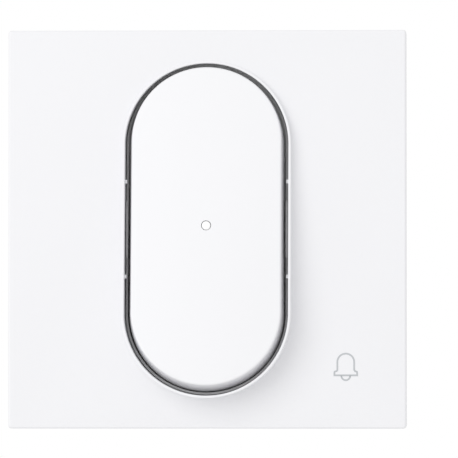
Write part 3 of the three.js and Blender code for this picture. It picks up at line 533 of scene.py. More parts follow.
# %% Liner and floor
LINER_FIT = 0.15 * MM
LINER_WALL = 0.5 * MM
LINER_BELOW_RIM = 4.6 * MM
TAB_BELOW_RIM = 3.4 * MM
TAB_LENGTH = 12.3 * MM
LINER_EDGE = 0.1 * MM
FLOOR_FRONT = -3.9 * MM
FLOOR_REAR = -2.1 * MM
FLOOR_CORNER = 3 * MM
FLOOR_EDGE = 0.25 * MM

frame_low, frame_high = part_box("inner_frame")
liner_width = WELL_WIDTH - 2 * LINER_FIT
liner_length = WELL_LENGTH - 2 * LINER_FIT
footing = (FLOOR_FRONT + FLOOR_REAR) / 2


def below_rim(depth):
    return rim_middle - rim_normal * depth * math.cos(math.atan2(rim_normal.z, -rim_normal.y))


def rounded_slab(name, low, high, corner, edge):
    """A flat block with round corners and softened front and rear edges."""
    slab = box(name, low, high)
    pick(slab, "EDGE", lambda a, b: abs(a.y - b.y) > MM / 2)
    bpy.ops.mesh.bevel(offset=corner, segments=6, affect="EDGES")
    stop_editing()
    pick(slab, "EDGE", lambda a, b: abs(a.y - b.y) < CLOSE)
    bpy.ops.mesh.bevel(offset=edge, segments=2, affect="EDGES")
    stop_editing()
    return slab


liner = slanted_tube(
    "liner", liner_width, liner_length, LINER_WALL, below_rim(LINER_BELOW_RIM), footing, LINER_EDGE)
tabs = slanted_tube(
    "tabs", liner_width, liner_length, LINER_WALL, below_rim(TAB_BELOW_RIM), footing - MM, LINER_EDGE)
middle_block = box(
    "middle_block",
    (-WELL_WIDTH, plate_low.y, -TAB_LENGTH / 2), (WELL_WIDTH, plate_back, TAB_LENGTH / 2))
cut_or_join(tabs, middle_block, "INTERSECT")
inner = rounded_slab(
    "inner", (frame_low.x, FLOOR_FRONT, frame_low.z), (frame_high.x, FLOOR_REAR, frame_high.z),
    FLOOR_CORNER, FLOOR_EDGE)
cut_or_join(liner, tabs, "UNION")
cut_or_join(inner, liner, "UNION")
print("inner frame:", len(inner.data.polygons), "faces")

# %% [markdown]
# The floor carries the two hinge brackets, the pegs that the return springs stand on and the
# pedestals of the rubber stops. It has holes for the plunger, the pilot light and the four screws
# that hold the module. All their places are read from the pieces that go with them.

# %% Brackets, pegs and holes of the inner frame
BRACKET_WIDTH = 2.2 * MM
BRACKET_HEIGHT = 4.4 * MM
WINDOW_HEIGHT = 6.6 * MM
SPRING_PEG_RADIUS = 1.6 * MM
SPRING_PEG_TOP = FLOOR_FRONT - 2 * MM
PEDESTAL_RADIUS = 2.4 * MM
PLUNGER_HOLE = 2.2 * MM
LIGHT_HOLE = 3.0 * MM
MODULE_SCREW_HOLE = 1.4 * MM
MODULE_SCREW_X = 20.6 * MM
PIN_HOLE = 1.15 * MM
PIN_HOLE_REACH = 2 * MM
STOP_GAP = 0.1 * MM
WINDOW_GAP = 0.2 * MM


def middle_of(node):
    low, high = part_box(node)
    return (low + high) / 2


pin_low, pin_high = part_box("hinge_pin")
pin_middle = middle_of("hinge_pin")
bracket_x = pin_high.x - BRACKET_WIDTH / 2
for side in LEFT_AND_RIGHT:
    x = side * bracket_x
    bracket = box(
        "bracket",
        (x - BRACKET_WIDTH / 2, pin_middle.y - BRACKET_HEIGHT / 2, pin_middle.z - BRACKET_HEIGHT / 2),
        (x + BRACKET_WIDTH / 2, footing, pin_middle.z + BRACKET_HEIGHT / 2))
    cut_or_join(inner, bracket, "UNION")
for side in ("left", "right"):
    spring = middle_of(f"return_spring_{side}")
    peg = bar("peg", SPRING_PEG_RADIUS, SPRING_PEG_TOP, footing, spring.x, spring.z)
    cut_or_join(inner, peg, "UNION")
    stop = middle_of(f"stop_bumper_{side}")
    stop_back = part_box(f"stop_bumper_{side}")[1].y + STOP_GAP
    cut_or_join(inner, bar("pedestal", PEDESTAL_RADIUS, stop_back, footing, stop.x, stop.z), "UNION")

window_x = bracket_x - BRACKET_WIDTH / 2 - WINDOW_GAP
window = box(
    "window", (-window_x, FLOOR_FRONT - MM, pin_middle.z - WINDOW_HEIGHT / 2),
    (window_x, FLOOR_REAR + MM, pin_middle.z + WINDOW_HEIGHT / 2))
cut_or_join(inner, window, "DIFFERENCE")
plunger = middle_of("switch_plunger")
baffle = middle_of("light_baffle")
holes = [(PLUNGER_HOLE, 0, plunger.z), (LIGHT_HOLE, 0, baffle.z)]
holes += [(MODULE_SCREW_HOLE, x, z) for x, z in at_corners(MODULE_SCREW_X, MODULE_SCREW_X)]
for radius, x, z in holes:
    cut_or_join(inner, bar("hole", radius, FLOOR_FRONT - MM, FLOOR_REAR + MM, x, z), "DIFFERENCE")
deselect()
bpy.ops.mesh.primitive_cylinder_add(
    vertices=HOLE_STEPS, radius=PIN_HOLE, depth=pin_high.x - pin_low.x + 2 * PIN_HOLE_REACH,
    location=pin_middle, rotation=(0, math.pi / 2, 0))
pin_hole = named("pin_hole")
settle(pin_hole)
cut_or_join(inner, pin_hole, "DIFFERENCE")
smooth(inner)
hand_over(inner, "station", "liner_plastic", "inner_frame")
print("inner frame:", len(inner.data.polygons), "faces")

# %% [markdown]
# ## The mounting frame
#
# The frame that is screwed to the wall box is a flat moulding with a low rim that is broken above
# and below, where the inner frame passes. A real one has softened edges all round, so the slab is
# bevelled before its openings are cut.

# %% The mounting frame
FRAME_CORNER = 3 * MM
FRAME_PLATE = 2 * MM
FRAME_RIM = 1.6 * MM
FRAME_EDGE = 0.3 * MM
RIM_BREAK = 25 * MM
SLOT_WIDTH = 4 * MM
SLOT_LENGTH = 10 * MM
MODULE_ROOM = 25.25 * MM
PEG_HOLE = 1.8 * MM
CUT_REACH = 10 * MM

mount_low, mount_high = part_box("mounting_frame")
mount = rounded_slab(
    "mount", (mount_low.x, mount_low.y, mount_low.z), (mount_high.x, 0, mount_high.z),
    FRAME_CORNER, FRAME_EDGE)
tray_x = mount_high.x - FRAME_RIM
tray = box("tray", (-tray_x, -CUT_REACH, -tray_x), (tray_x, -FRAME_PLATE, tray_x))
cut_or_join(mount, tray, "DIFFERENCE")
gap = box("gap", (-RIM_BREAK, -CUT_REACH, -plate_high.z), (RIM_BREAK, -FRAME_PLATE, plate_high.z))
cut_or_join(mount, gap, "DIFFERENCE")
room_box = box(
    "room_box", (-MODULE_ROOM, -CUT_REACH, -MODULE_ROOM), (MODULE_ROOM, CUT_REACH, MODULE_ROOM))
cut_or_join(mount, room_box, "DIFFERENCE")
for side in ("left", "right"):
    slot = tall_block("slot", SLOT_WIDTH, SLOT_LENGTH, -CUT_REACH, CUT_REACH)
    slot.location.x = middle_of(f"box_screw_{side}").x
    settle(slot)
    cut_or_join(mount, slot, "DIFFERENCE")
for x, z in at_corners(plate_high.x - PEG_INSET, plate_high.z - PEG_INSET):
    cut_or_join(mount, bar("peg_hole", PEG_HOLE, -CUT_REACH, CUT_REACH, x, z), "DIFFERENCE")
smooth(mount)
hand_over(mount, "station", "frame_plastic", "mounting_frame")
print("mounting frame:", len(mount.data.polygons), "faces")

# %% [markdown]
# ## The switch module
#
# The module is a deep box that is closed in front by a lid. Its outer edges are rounded, its room
# is cut in from the front, and columns in the corners take the four long screws. The rear has
# holes for a screwdriver and an opening for the cable, and wires pass the upper and lower walls.

# %% Housing of the module
MODULE_CORNER = 2 * MM
MODULE_EDGE = 0.5 * MM
MODULE_WALL = 1.75 * MM
COLUMN_RADIUS = 3.2 * MM
SCREW_HOLE = 1.5 * MM
HEAD_HOLE = 2.7 * MM
HEAD_RECESS = 1.5 * MM
DRIVER_HOLE = 2.5 * MM
WIRE_HOLE = 1.8 * MM
WIRE_DEPTH = 13.9 * MM
CABLE_ENTRY = Vector((7 * MM, 0, 5 * MM))
CABLE_ENTRY_CORNER = 1 * MM
BEHIND_ALL = 30 * MM
TERMINAL_PLACE = middle_of("terminal_1")

house_low, house_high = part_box("module_housing")
house = rounded_slab("house", house_low, house_high, MODULE_CORNER, MODULE_EDGE)
inside = house_high.x - MODULE_WALL
floor_depth = house_high.y - MODULE_WALL
hollow = box("hollow", (-inside, house_low.y - MM, -inside), (inside, floor_depth, inside))
pick(hollow, "EDGE", lambda a, b: abs(a.y - b.y) > MM or min(a.y, b.y) > floor_depth - MM)
bpy.ops.mesh.bevel(offset=MODULE_EDGE, segments=3, affect="EDGES")
stop_editing()
cut_or_join(house, hollow, "DIFFERENCE")
for x, z in at_corners(MODULE_SCREW_X, MODULE_SCREW_X):
    column = bar("column", COLUMN_RADIUS, house_low.y, floor_depth + MODULE_WALL / 2, x, z)
    cut_or_join(house, column, "UNION")
for x, z in at_corners(MODULE_SCREW_X, MODULE_SCREW_X):
    cut_or_join(house, bar("hole", SCREW_HOLE, -CUT_REACH, BEHIND_ALL, x, z), "DIFFERENCE")
    head_hole = bar("head_hole", HEAD_HOLE, house_high.y - HEAD_RECESS, BEHIND_ALL, x, z)
    cut_or_join(house, head_hole, "DIFFERENCE")
for x, z in at_corners(TERMINAL_PLACE.x, TERMINAL_PLACE.z):
    driver_hole = bar("driver_hole", DRIVER_HOLE, floor_depth - MM, BEHIND_ALL, x, z)
    cut_or_join(house, driver_hole, "DIFFERENCE")
for side in LEFT_AND_RIGHT:
    deselect()
    bpy.ops.mesh.primitive_cylinder_add(
        vertices=HOLE_STEPS, radius=WIRE_HOLE, depth=2 * plate_high.z,
        location=(side * TERMINAL_PLACE.x, WIRE_DEPTH, 0))
    wire_hole = named("wire_hole")
    settle(wire_hole)
    cut_or_join(house, wire_hole, "DIFFERENCE")
entry = box(
    "entry", (-CABLE_ENTRY.x, floor_depth - MM, -CABLE_ENTRY.z),
    (CABLE_ENTRY.x, house_high.y + MM, CABLE_ENTRY.z))
pick(entry, "EDGE", lambda a, b: abs(a.y - b.y) > MM)
bpy.ops.mesh.bevel(offset=CABLE_ENTRY_CORNER, segments=5, affect="EDGES")
stop_editing()
cut_or_join(house, entry, "DIFFERENCE")
smooth(house)
hand_over(house, "station", "module_plastic", "module_housing")
print("housing:", len(house.data.polygons), "faces")

# %% [markdown]
# ## Screws
#
# A screw thread is a small V that climbs as it goes round. Two edges make the V, and the Screw
# modifier turns them round the axis by one pitch per turn. The ends are sliced off flat and closed.
# The pan head is a short bar with a generous bevel, with a cross pushed in that narrows downwards.

# %% Threaded rod and pan head
THREAD_STEPS = 20
THREAD_DEPTH = 0.55
POINT_SHARE = 0.25
TINY = 0.002 * MM
HEAD_ROUNDING = 0.7
CROSS_REACH = 0.62
CROSS_HALF_WIDTH = 0.13
CROSS_BOTTOM = 0.4
CROSS_TAPER = 0.7
ROD_IN_HEAD = 0.2


def threaded_rod(name, radius, pitch, start, end):
    """A rod along +Y with a helical thread, from start to end, with a short point."""
    deselect()
    bpy.ops.mesh.primitive_circle_add(vertices=3, radius=radius)
    rod = named(name)
    root = radius - pitch * THREAD_DEPTH
    for point, place in zip(rod.data.vertices, ((radius, pitch / 2), (root, 0), (root, pitch))):
        point.co = (place[0], 0, place[1])
    pick(rod, "EDGE", lambda a, b: abs(a.x - b.x) < TINY)
    bpy.ops.mesh.delete(type="EDGE")
    stop_editing()
    turn = rod.modifiers.new("turn", "SCREW")
    turn.axis = "Z"
    turn.screw_offset = pitch
    turn.iterations = math.ceil((end - start) / pitch) + 2
    turn.steps = THREAD_STEPS
    turn.render_steps = THREAD_STEPS
    make_active(rod)
    bpy.ops.object.modifier_apply(modifier=turn.name)
    for height, side in ((pitch, -1), (pitch + end - start, 1)):
        pick(rod, "FACE", lambda middle, normal: True)
        bpy.ops.mesh.remove_doubles(threshold=TINY)
        bpy.ops.mesh.bisect(
            plane_co=(0, 0, height), plane_no=(0, 0, side), use_fill=True, clear_outer=True,
            threshold=TINY / 10)
        stop_editing()
    top = pitch + end - start
    pick(rod, "FACE", lambda middle, normal: middle.z > top - TINY)
    bpy.ops.mesh.extrude_region_move(TRANSFORM_OT_translate={"value": (0, 0, radius)})
    bpy.ops.transform.resize(
        value=(POINT_SHARE, POINT_SHARE, 1), center_override=(0, 0, top + radius))
    stop_editing()
    pick(rod, "FACE", lambda middle, normal: True)
    bpy.ops.mesh.normals_make_consistent(inside=False)
    stop_editing()
    rod.rotation_euler = (-math.pi / 2, 0, 0)
    rod.location = (0, start - pitch, 0)
    settle(rod)
    return rod


def pan_head_screw(name, head, height, shank, length, pitch):
    """A screw whose head stands on the plane y = 0 and whose thread runs along +Y."""
    screw = bar(name, head, -height, 0)
    pick(screw, "EDGE", is_ring_at(-height))
    bpy.ops.mesh.bevel(offset=height * HEAD_ROUNDING, segments=6, affect="EDGES")
    stop_editing()
    reach = head * CROSS_REACH
    half = head * CROSS_HALF_WIDTH
    bottom = -height * CROSS_BOTTOM
    for across, up in ((reach, half), (half, reach)):
        slot = box("slot", (-across, -height - MM, -up), (across, bottom, up))
        pick(slot, "FACE", lambda middle, normal: normal.y > FACING)
        bpy.ops.transform.resize(
            value=(CROSS_TAPER, 1, CROSS_TAPER), center_override=(0, bottom, 0))
        stop_editing()
        cut_or_join(screw, slot, "DIFFERENCE")
    rod = threaded_rod("rod", shank, pitch, -height * ROD_IN_HEAD, length - shank)
    cut_or_join(screw, rod, "UNION")
    smooth(screw, 30)
    return screw


def copy_to(original, node, place, turned_round):
    """Puts a copy with its own mesh where the node is."""
    copy = original.copy()
    copy.data = original.data.copy()
    copy.name = f"fine_{node}"
    bpy.context.scene.collection.objects.link(copy)
    copy.location = place
    copy.rotation_euler = (math.pi if turned_round else 0, 0, 0)
    settle(copy)
    hand_over(copy, "station", "plated_steel", node)


print("screw tools ready")

# %% [markdown]
# There are three kinds of screws: two that hold the frame to the wall box, four that hold the
# module to the inner frame from behind, and four in the terminals. Each kind is modelled once and
# copied to its places.

# %% All screws
SCREW_KINDS = {
    "box_screw": (["left", "right"], False, 2.2 * MM, 1.75 * MM, 0.7 * MM),
    "module_screw": ("1234", True, 1.2 * MM, 1.3 * MM, 0.6 * MM),
    "terminal_screw": ("1234", True, 1.5 * MM, 1.25 * MM, 0.5 * MM),
}
for kind, (marks, turned_round, height, shank, pitch) in SCREW_KINDS.items():
    low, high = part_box(f"{kind}_{marks[0]}")
    length = high.y - low.y - height
    original = pan_head_screw(kind, (high.x - low.x) / 2, height, shank, length, pitch)
    for mark in marks:
        low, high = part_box(f"{kind}_{mark}")
        seat = high.y - height if turned_round else low.y + height
        place = ((low.x + high.x) / 2, seat, (low.z + high.z) / 2)
        copy_to(original, f"{kind}_{mark}", place, turned_round)
    print(kind, len(original.data.polygons), "faces")
    bpy.data.objects.remove(original)

# %% [markdown]
# ## Return springs
#
# Two coil springs push the button out again. The section of the wire is a small circle, and the
# Screw modifier carries it round the axis. A real spring closes up as the button is pressed.

# %% Return springs
COIL_RADIUS = 2.4 * MM
SPRING_WIRE = 0.3 * MM
SPRING_TURNS = 4
WIRE_STEPS = 14
COIL_STEPS = 32

springs = []
for side in ("left", "right"):
    node = f"return_spring_{side}"
    low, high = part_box(node)
    middle = middle_of(node)
    deselect()
    bpy.ops.mesh.primitive_circle_add(
        vertices=WIRE_STEPS, radius=SPRING_WIRE,
        location=(COIL_RADIUS, 0, 0), rotation=(math.pi / 2, 0, 0))
    spring = named(f"fine_{node}")
    settle(spring)
    rise = high.y - low.y - 2 * SPRING_WIRE
    coil = spring.modifiers.new("coil", "SCREW")
    coil.axis = "Z"
    coil.screw_offset = rise / SPRING_TURNS
    coil.iterations = SPRING_TURNS
    coil.steps = COIL_STEPS
    coil.render_steps = COIL_STEPS
    make_active(spring)
    bpy.ops.object.modifier_apply(modifier=coil.name)
    pick(spring, "FACE", lambda centre, normal: True)
    bpy.ops.mesh.remove_doubles(threshold=TINY)
    bpy.ops.mesh.select_all(action="DESELECT")
    bpy.ops.mesh.select_mode(type="EDGE")
    bpy.ops.mesh.select_non_manifold()
    bpy.ops.mesh.edge_face_add()
    bpy.ops.mesh.select_all(action="SELECT")
    bpy.ops.mesh.normals_make_consistent(inside=False)
    stop_editing()
    spring.rotation_euler = (-math.pi / 2, 0, 0)
    spring.location = (middle.x, low.y + SPRING_WIRE, middle.z)
    settle(spring)
    smooth(spring)
    hand_over(spring, "station", "spring_steel", node)
    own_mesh(spring)
    springs.append(spring)
print("springs:", [len(spring.data.polygons) for spring in springs])

# %% [markdown]
# The contact blade in the switch bends when the plunger pushes on it. Its mechanical node is rigid,
# so a plain copy of that mesh, with its triangles still loose, stands for it.

blade_low, blade_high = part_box("contact_blade")
blade = nodes["contact_blade"].copy()
blade.data = nodes["contact_blade"].data.copy()
blade.name = "blade"
blade.parent = None
bpy.context.scene.collection.objects.link(blade)
smooth(blade, 30)
hand_over(blade, "station", "silvered_contact", "contact_blade")
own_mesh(blade)
print("blade depth in mm:", round((blade_high.y - blade_low.y) / MM, 2))

# %% [markdown]
# The hinge pin is a ground steel bar that lies across the top of the button. Its ends are rounded
# so that it slides into its holes.

# %% Hinge pin
PIN_EDGE = 0.2 * MM

deselect()
bpy.ops.mesh.primitive_cylinder_add(
    vertices=HOLE_STEPS, radius=(pin_high.y - pin_low.y) / 2, depth=pin_high.x - pin_low.x,
    location=pin_middle, rotation=(0, math.pi / 2, 0))
pin = named("pin")
settle(pin)
pick(pin, "EDGE", lambda a, b: abs(a.x - b.x) < TINY)
bpy.ops.mesh.bevel(offset=PIN_EDGE, segments=3, affect="EDGES")
stop_editing()
smooth(pin)
hand_over(pin, "station", "plated_steel", "hinge_pin")
print("pin:", len(pin.data.polygons), "faces")

# %% [markdown]
# ## The bell sign
#
# A small bell is printed in grey at the lower right of the plate. It could be drawn in the plate's
# material, but as a piece of its own it keeps crisp edges at any distance. The upper half of a disc
# makes the dome. Its lower edge is extruded downwards step by step and widened along two arcs, one
# hollow and one round.

# %% Outline of the bell
SIGN_X = 29.93 * MM
DOME_Z = -28.65 * MM
DOME_RADIUS = 2.0 * MM
SIDE_END_Z = -30.22 * MM
FLARE_RADIUS = 0.28 * MM
SHOULDER_RADIUS = 0.36 * MM
BELL_FOOT_Z = -31.71 * MM
CLAPPER_Z = -31.62 * MM
CLAPPER_RADIUS = 1.13 * MM
LINE_WIDTH = 0.38 * MM
INK = 0.015 * MM
ARC_STEPS = 6
DOME_STEPS = 64
CLAPPER_STEPS = 48


def flat_disc(name, radius, z, steps):
    deselect()
    bpy.ops.mesh.primitive_circle_add(
        vertices=steps, radius=radius, fill_type="NGON",
        location=(SIGN_X, plate_front, z), rotation=(math.pi / 2, 0, 0))
    disc = named(name)
    settle(disc)
    return disc


def keep_below(piece, z, side):
    """Cuts the piece at height z and keeps what is above it (side 1) or below it (side -1)."""
    pick(piece, "FACE", lambda middle, normal: True)
    bpy.ops.mesh.bisect(plane_co=(0, 0, z), plane_no=(0, 0, -side), clear_outer=True)
    stop_editing()


def lowest_edge(z):
    return lambda a, b: abs(a.z - z) < MM / 1000 and abs(b.z - z) < MM / 1000


bell = flat_disc("bell_sign", DOME_RADIUS, DOME_Z, DOME_STEPS)
keep_below(bell, DOME_Z, 1)
quarter = [math.pi / 2 * step / ARC_STEPS for step in range(1, ARC_STEPS + 1)]
flare_x = DOME_RADIUS + FLARE_RADIUS
profile = [(DOME_RADIUS, SIDE_END_Z)]
profile += [
    (flare_x - FLARE_RADIUS * math.cos(a), SIDE_END_Z - FLARE_RADIUS * math.sin(a)) for a in quarter]
profile += [
    (flare_x + SHOULDER_RADIUS * math.sin(a),
     SIDE_END_Z - FLARE_RADIUS - SHOULDER_RADIUS * (1 - math.cos(a))) for a in quarter]
profile += [(flare_x + SHOULDER_RADIUS, BELL_FOOT_Z)]

width, z = DOME_RADIUS, DOME_Z
for next_width, next_z in profile:
    pick(bell, "EDGE", lowest_edge(z))
    bpy.ops.mesh.extrude_region_move(TRANSFORM_OT_translate={"value": (0, 0, next_z - z)})
    bpy.ops.transform.resize(
        value=(next_width / width, 1, 1), center_override=(SIGN_X, plate_front, next_z))
    stop_editing()
    width, z = next_width, next_z
print("bell outline:", len(bell.data.polygons), "faces")

# %% [markdown]
# The filled bell becomes a line: its region is inset by the width of the line, and the middle that
# is left selected is deleted. The clapper is a ring that is made in the same way and cut off at the
# foot of the bell. Solidify gives both the thickness of a layer of ink.

# %% Line of the bell and its clapper
def hollow_out(piece):
    pick(piece, "FACE", lambda middle, normal: True)
    bpy.ops.mesh.inset(thickness=LINE_WIDTH)
    bpy.ops.mesh.delete(type="FACE")
    stop_editing()


def give_ink_thickness(piece):
    solidify = piece.modifiers.new("ink", "SOLIDIFY")
    solidify.thickness = 2 * INK
    solidify.offset = 0
    make_active(piece)
    bpy.ops.object.modifier_apply(modifier=solidify.name)
    pick(piece, "FACE", lambda middle, normal: True)
    bpy.ops.mesh.normals_make_consistent(inside=False)
    stop_editing()


hollow_out(bell)
clapper = flat_disc("clapper_sign", CLAPPER_RADIUS, CLAPPER_Z, CLAPPER_STEPS)
hollow_out(clapper)
keep_below(clapper, BELL_FOOT_Z, -1)
for sign in (bell, clapper):
    give_ink_thickness(sign)
    hand_over(sign, "station", "symbol_print")
print("line of the bell:", len(bell.data.polygons), "faces")

# %% [markdown]
# ## Finishes
#
# Every finish is worked out from the place on the piece, so that it needs no picture. Shader sums
# are written as ordinary sums in Python: a small class wraps one socket of the shader and adds a
# Math node for each operator. A second class holds the finish itself and adds every other node.

# %% Shader sums
class Wire:
    """A value in a finish that can be added, taken away and multiplied."""

    def __init__(self, finish, socket):
        self.finish = finish
        self.socket = socket

    def sum(self, operation, first, second):
        return self.finish.add("ShaderNodeMath", {"operation": operation}, {0: first, 1: second})

    def __add__(self, other):
        return self.sum("ADD", self, other)

    def __radd__(self, other):
        return self.sum("ADD", other, self)

    def __sub__(self, other):
        return self.sum("SUBTRACT", self, other)

    def __rsub__(self, other):
        return self.sum("SUBTRACT", other, self)

    def __mul__(self, other):
        return self.sum("MULTIPLY", self, other)

    def __rmul__(self, other):
        return self.sum("MULTIPLY", other, self)

    def __gt__(self, other):
        return self.sum("GREATER_THAN", self, other)

    def __lt__(self, other):
        return self.sum("LESS_THAN", self, other)


class Finish:
    """A material whose shader is fed from patterns on the place on the piece."""

    def __init__(self, name):
        self.material = bpy.data.materials.new(name)
        self.material.use_nodes = True
        self.tree = self.material.node_tree
        self.shader = self.tree.nodes["Principled BSDF"]
        self.place = self.add("ShaderNodeTexCoord", {}, {}, "Object")

    def feed(self, socket, value):
        if isinstance(value, Wire):
            self.tree.links.new(value.socket, socket)
        elif isinstance(value, tuple) and len(value) == 3 and socket.type == "RGBA":
            socket.default_value = (*value, 1)
        else:
            socket.default_value = value

    def add(self, kind, settings, inputs, output=0):
        node = self.tree.nodes.new(kind)
        for name, value in settings.items():
            setattr(node, name, value)
        for name, value in inputs.items():
            self.feed(node.inputs[name], value)
        return Wire(self, node.outputs[output])

    def set(self, **values):
        for name, value in values.items():
            self.feed(self.shader.inputs[name.replace("_", " ")], value)

    def noise(self, grain, detail=2.0, stretch=(1, 1, 1)):
        """A soft pattern between 0 and 1 whose grains are about this size, in metres."""
        scale = tuple(part / grain for part in stretch)
        place = self.add("ShaderNodeMapping", {}, {"Vector": self.place, "Scale": scale})
        return self.add("ShaderNodeTexNoise", {}, {"Vector": place, "Scale": 1.0, "Detail": detail})

    def between(self, mask, first, second):
        """The first colour where the mask is 0 and the second where it is 1."""
        settings = {"data_type": "RGBA"}
        return self.add("ShaderNodeMix", settings, {0: mask, 6: first, 7: second}, 2)

    def bump(self, height, depth):
        settings = {"Height": height, "Distance": depth, "Strength": 1.0}
        self.set(Normal=self.add("ShaderNodeBump", {}, settings))


print("shader helpers ready")

# %% [markdown]
# Moulded plastic is never quite even. The tool leaves a fine spark-eroded grain, the melt leaves
# broad flow marks that change the gloss a little, and the colour is a touch deeper where the melt
# came in. One function makes all of the moulded finishes from these three scales.

# %% Moulded plastics
FLOW_MARKS = 14 * MM
MOULD_GRAIN = 0.09 * MM


def shade(colour, factor):
    return tuple(min(part * factor, 1.0) for part in colour)


def moulded(name, colour, roughness, grain_depth, tint=0.985):
    finish = Finish(name)
    flow = finish.noise(FLOW_MARKS, detail=3.0, stretch=(1.0, 1.0, 0.45))
    grain = finish.noise(MOULD_GRAIN, detail=1.0)
    finish.set(
        Base_Color=finish.between(flow, shade(colour, tint), colour),
        Roughness=roughness - 0.04 + flow * 0.05 + grain * 0.05)
    finish.bump(grain, grain_depth)
    return finish


def plate_plastic():
    return moulded("white_plate_plastic", (0.885, 0.885, 0.905), 0.44, 0.004 * MM)


def button_plastic():
    return moulded("white_button_plastic", (0.90, 0.90, 0.918), 0.40, 0.003 * MM)


def liner_plastic():
    return moulded("grey_liner_plastic", (0.50, 0.50, 0.505), 0.55, 0.008 * MM, tint=0.93)


def frame_plastic():
    return moulded("light_grey_frame_plastic", (0.56, 0.57, 0.58), 0.55, 0.010 * MM, tint=0.94)


def module_plastic():
    return moulded("off_white_module_plastic", (0.72, 0.72, 0.69), 0.5, 0.008 * MM, tint=0.95)


def black_plastic():
    return moulded("black_switch_plastic", (0.03, 0.03, 0.033), 0.45, 0.008 * MM, tint=0.8)


def nylon():
    finish = moulded("natural_nylon", (0.80, 0.79, 0.745), 0.38, 0.004 * MM, tint=0.96)
    finish.set(Subsurface_Weight=0.15, Subsurface_Scale=MM)
    return finish


print("moulded finishes ready")

# %% [markdown]
# The light window is polished, so it has almost no grain, only a faint swirl in its gloss and a
# milky white body. The case of the light-emitting diode is clear epoxy
# with a bluish tone. Resistors have a glossy lacquer with coloured rings, which are bands across
# the length of the barrel.

# %% Clear and lacquered finishes
def polished(name, colour, roughness, swirl_size, tint):
    finish = Finish(name)
    swirl = finish.noise(swirl_size, detail=2.0)
    finish.set(
        Base_Color=finish.between(swirl, shade(colour, tint), colour),
        Roughness=roughness + swirl * 0.06, Coat_Weight=0.35 + swirl * 0.1, Coat_Roughness=0.05)
    finish.bump(swirl, 0.002 * MM)
    return finish


def lens_plastic():
    return polished("milky_lens_acrylic", (0.985, 0.985, 0.985), 0.12, 0.9 * MM, 0.99)


def clear_plastic():
    return polished("clear_epoxy", (0.78, 0.84, 0.90), 0.08, 1.2 * MM, 0.93)


RING_PLACES = ((-2.0 * MM, (0.30, 0.09, 0.03)), (-0.7 * MM, (0.55, 0.07, 0.03)),
               (0.6 * MM, (0.50, 0.30, 0.03)), (2.3 * MM, (0.60, 0.45, 0.12)))
RING_HALF_WIDTH = 0.3 * MM


def resistor_lacquer():
    finish = polished("resistor_lacquer", (0.55, 0.44, 0.27), 0.25, 0.7 * MM, 0.9)
    across = finish.add("ShaderNodeSeparateXYZ", {}, {"Vector": finish.place}, "X")
    colour = finish.between(finish.noise(0.7 * MM), (0.50, 0.40, 0.24), (0.56, 0.45, 0.28))
    for ring_x, ring_colour in RING_PLACES:
        mask = (across > ring_x - RING_HALF_WIDTH) * (across < ring_x + RING_HALF_WIDTH)
        colour = finish.between(mask, colour, ring_colour)
    finish.set(Base_Color=colour)
    return finish


print("clear finishes ready")

# %% [markdown]
# Metals differ in how they were worked. Zinc plating has a cloudy spangle, spring wire was drawn
# through a die and keeps fine lines along its length, turned brass has a fine turning pattern, and
# silver contacts tarnish slightly in patches. Colour and gloss follow the same cloud in each.

# %% Metals, rubber, board and ink
def metal(name, light, dark, roughness, cloud_size, stretch=(1, 1, 1)):
    finish = Finish(name)
    cloud = finish.noise(cloud_size, detail=4.0)
    lines = finish.noise(0.05 * MM, detail=2.0, stretch=stretch)
    finish.set(
        Base_Color=finish.between(cloud, dark, light), Metallic=1.0,
        Roughness=roughness + cloud * 0.12 + lines * 0.08)
    finish.bump(lines, 0.003 * MM)
    return finish


def plated_steel():
    return metal("zinc_plated_steel", (0.70, 0.71, 0.72), (0.52, 0.53, 0.55), 0.24, 1.6 * MM)


def spring_steel():
    return metal("drawn_spring_wire", (0.58, 0.58, 0.59), (0.44, 0.44, 0.45), 0.22, 0.8 * MM)


def terminal_brass():
    lines = (0.2, 1, 0.2)
    return metal("turned_brass", (0.78, 0.60, 0.30), (0.62, 0.45, 0.20), 0.24, 1.5 * MM, lines)


def silvered_contact():
    return metal("silvered_contact", (0.84, 0.83, 0.80), (0.66, 0.63, 0.56), 0.18, 1.1 * MM)


def bumper_rubber():
    return moulded("soft_black_rubber", (0.05, 0.05, 0.055), 0.82, 0.015 * MM, tint=0.7)


def symbol_print():
    finish = Finish("grey_printed_ink")
    cover = finish.noise(0.12 * MM, detail=3.0)
    finish.set(
        Base_Color=finish.between(cover, (0.49, 0.51, 0.53), (0.55, 0.565, 0.585)),
        Roughness=0.5 + cover * 0.1)
    finish.bump(cover, 0.002 * MM)
    return finish


TRACK_PITCH = 2.54 * MM
TRACK_WIDTH = 0.35


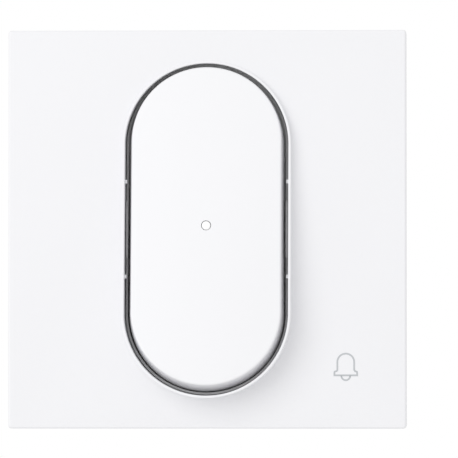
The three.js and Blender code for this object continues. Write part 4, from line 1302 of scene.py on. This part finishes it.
def board_laminate():
    """Solder mask over copper tracks that run up and down and sideways in blocks."""
    finish = Finish("circuit_board_laminate")
    blocks = finish.add(
        "ShaderNodeTexVoronoi", {"distance": "CHEBYCHEV"},
        {"Vector": finish.place, "Scale": 1 / (4 * TRACK_PITCH)}, "Color")
    pick_way = finish.add("ShaderNodeSeparateXYZ", {}, {"Vector": blocks}, "X") > 0.5
    along = finish.add("ShaderNodeSeparateXYZ", {}, {"Vector": finish.place}, "X") * (1 / TRACK_PITCH)
    up = finish.add("ShaderNodeSeparateXYZ", {}, {"Vector": finish.place}, "Z") * (1 / TRACK_PITCH)
    way = along * pick_way + up * (1 - pick_way)
    step = finish.add("ShaderNodeMath", {"operation": "FRACT"}, {0: way})
    track = step < TRACK_WIDTH
    cloud = finish.noise(3 * MM)
    mask_colour = finish.between(cloud, (0.030, 0.145, 0.060), (0.042, 0.175, 0.075))
    track_colour = finish.between(cloud, (0.060, 0.240, 0.085), (0.075, 0.270, 0.100))
    finish.set(
        Base_Color=finish.between(track, mask_colour, track_colour),
        Roughness=0.28 + cloud * 0.1, Coat_Weight=0.3)
    finish.bump(track, 0.03 * MM)
    return finish


FINISHES = {
    maker.__name__: maker().material
    for maker in (
        plate_plastic, button_plastic, liner_plastic, frame_plastic, module_plastic, black_plastic,
        nylon, lens_plastic, clear_plastic, board_laminate, silvered_contact, resistor_lacquer,
        plated_steel, spring_steel, bumper_rubber, terminal_brass, symbol_print)}
print("finishes:", len(FINISHES))

# %% [markdown]
# The record of the mechanical model names a finish for each of its pieces, and each new piece gets
# the one that fits it. The functions above carry the same names, so one loop dresses everything.

# %% Dress every piece
def dress(piece, slot):
    if not piece.material_slots:
        piece.data.materials.append(None)
    for material_slot in piece.material_slots:
        material_slot.material = FINISHES[slot]


for subpart in frame["record"]["subparts"]:
    dress(nodes[subpart["node"]], subpart["material_slot"])
for piece, slot in NEW_PIECES.items():
    dress(piece, slot)
print("dressed:", len(nodes) + len(NEW_PIECES), "pieces")

# %% [markdown]
# ## Floor and finish
#
# The station hangs in front of a plain white studio, so the floor is only a wide pale disc far
# below it.

# %% Floor and its finish
FLOOR_RADIUS = 2.6
FLOOR_LEVEL = -0.35
FLOOR_STEPS = 96
PAPER_CLOUD = 0.4

deselect()
bpy.ops.mesh.primitive_circle_add(
    vertices=FLOOR_STEPS, radius=FLOOR_RADIUS, fill_type="NGON", location=(0, 0, FLOOR_LEVEL))
floor = named("floor")
settle(floor)
paper = Finish("pale_paper")
paper_tone = paper.noise(PAPER_CLOUD)
paper.set(Base_Color=paper.between(paper_tone, (0.88, 0.88, 0.88), (0.92, 0.92, 0.92)), Roughness=0.9)
floor.data.materials.append(paper.material)
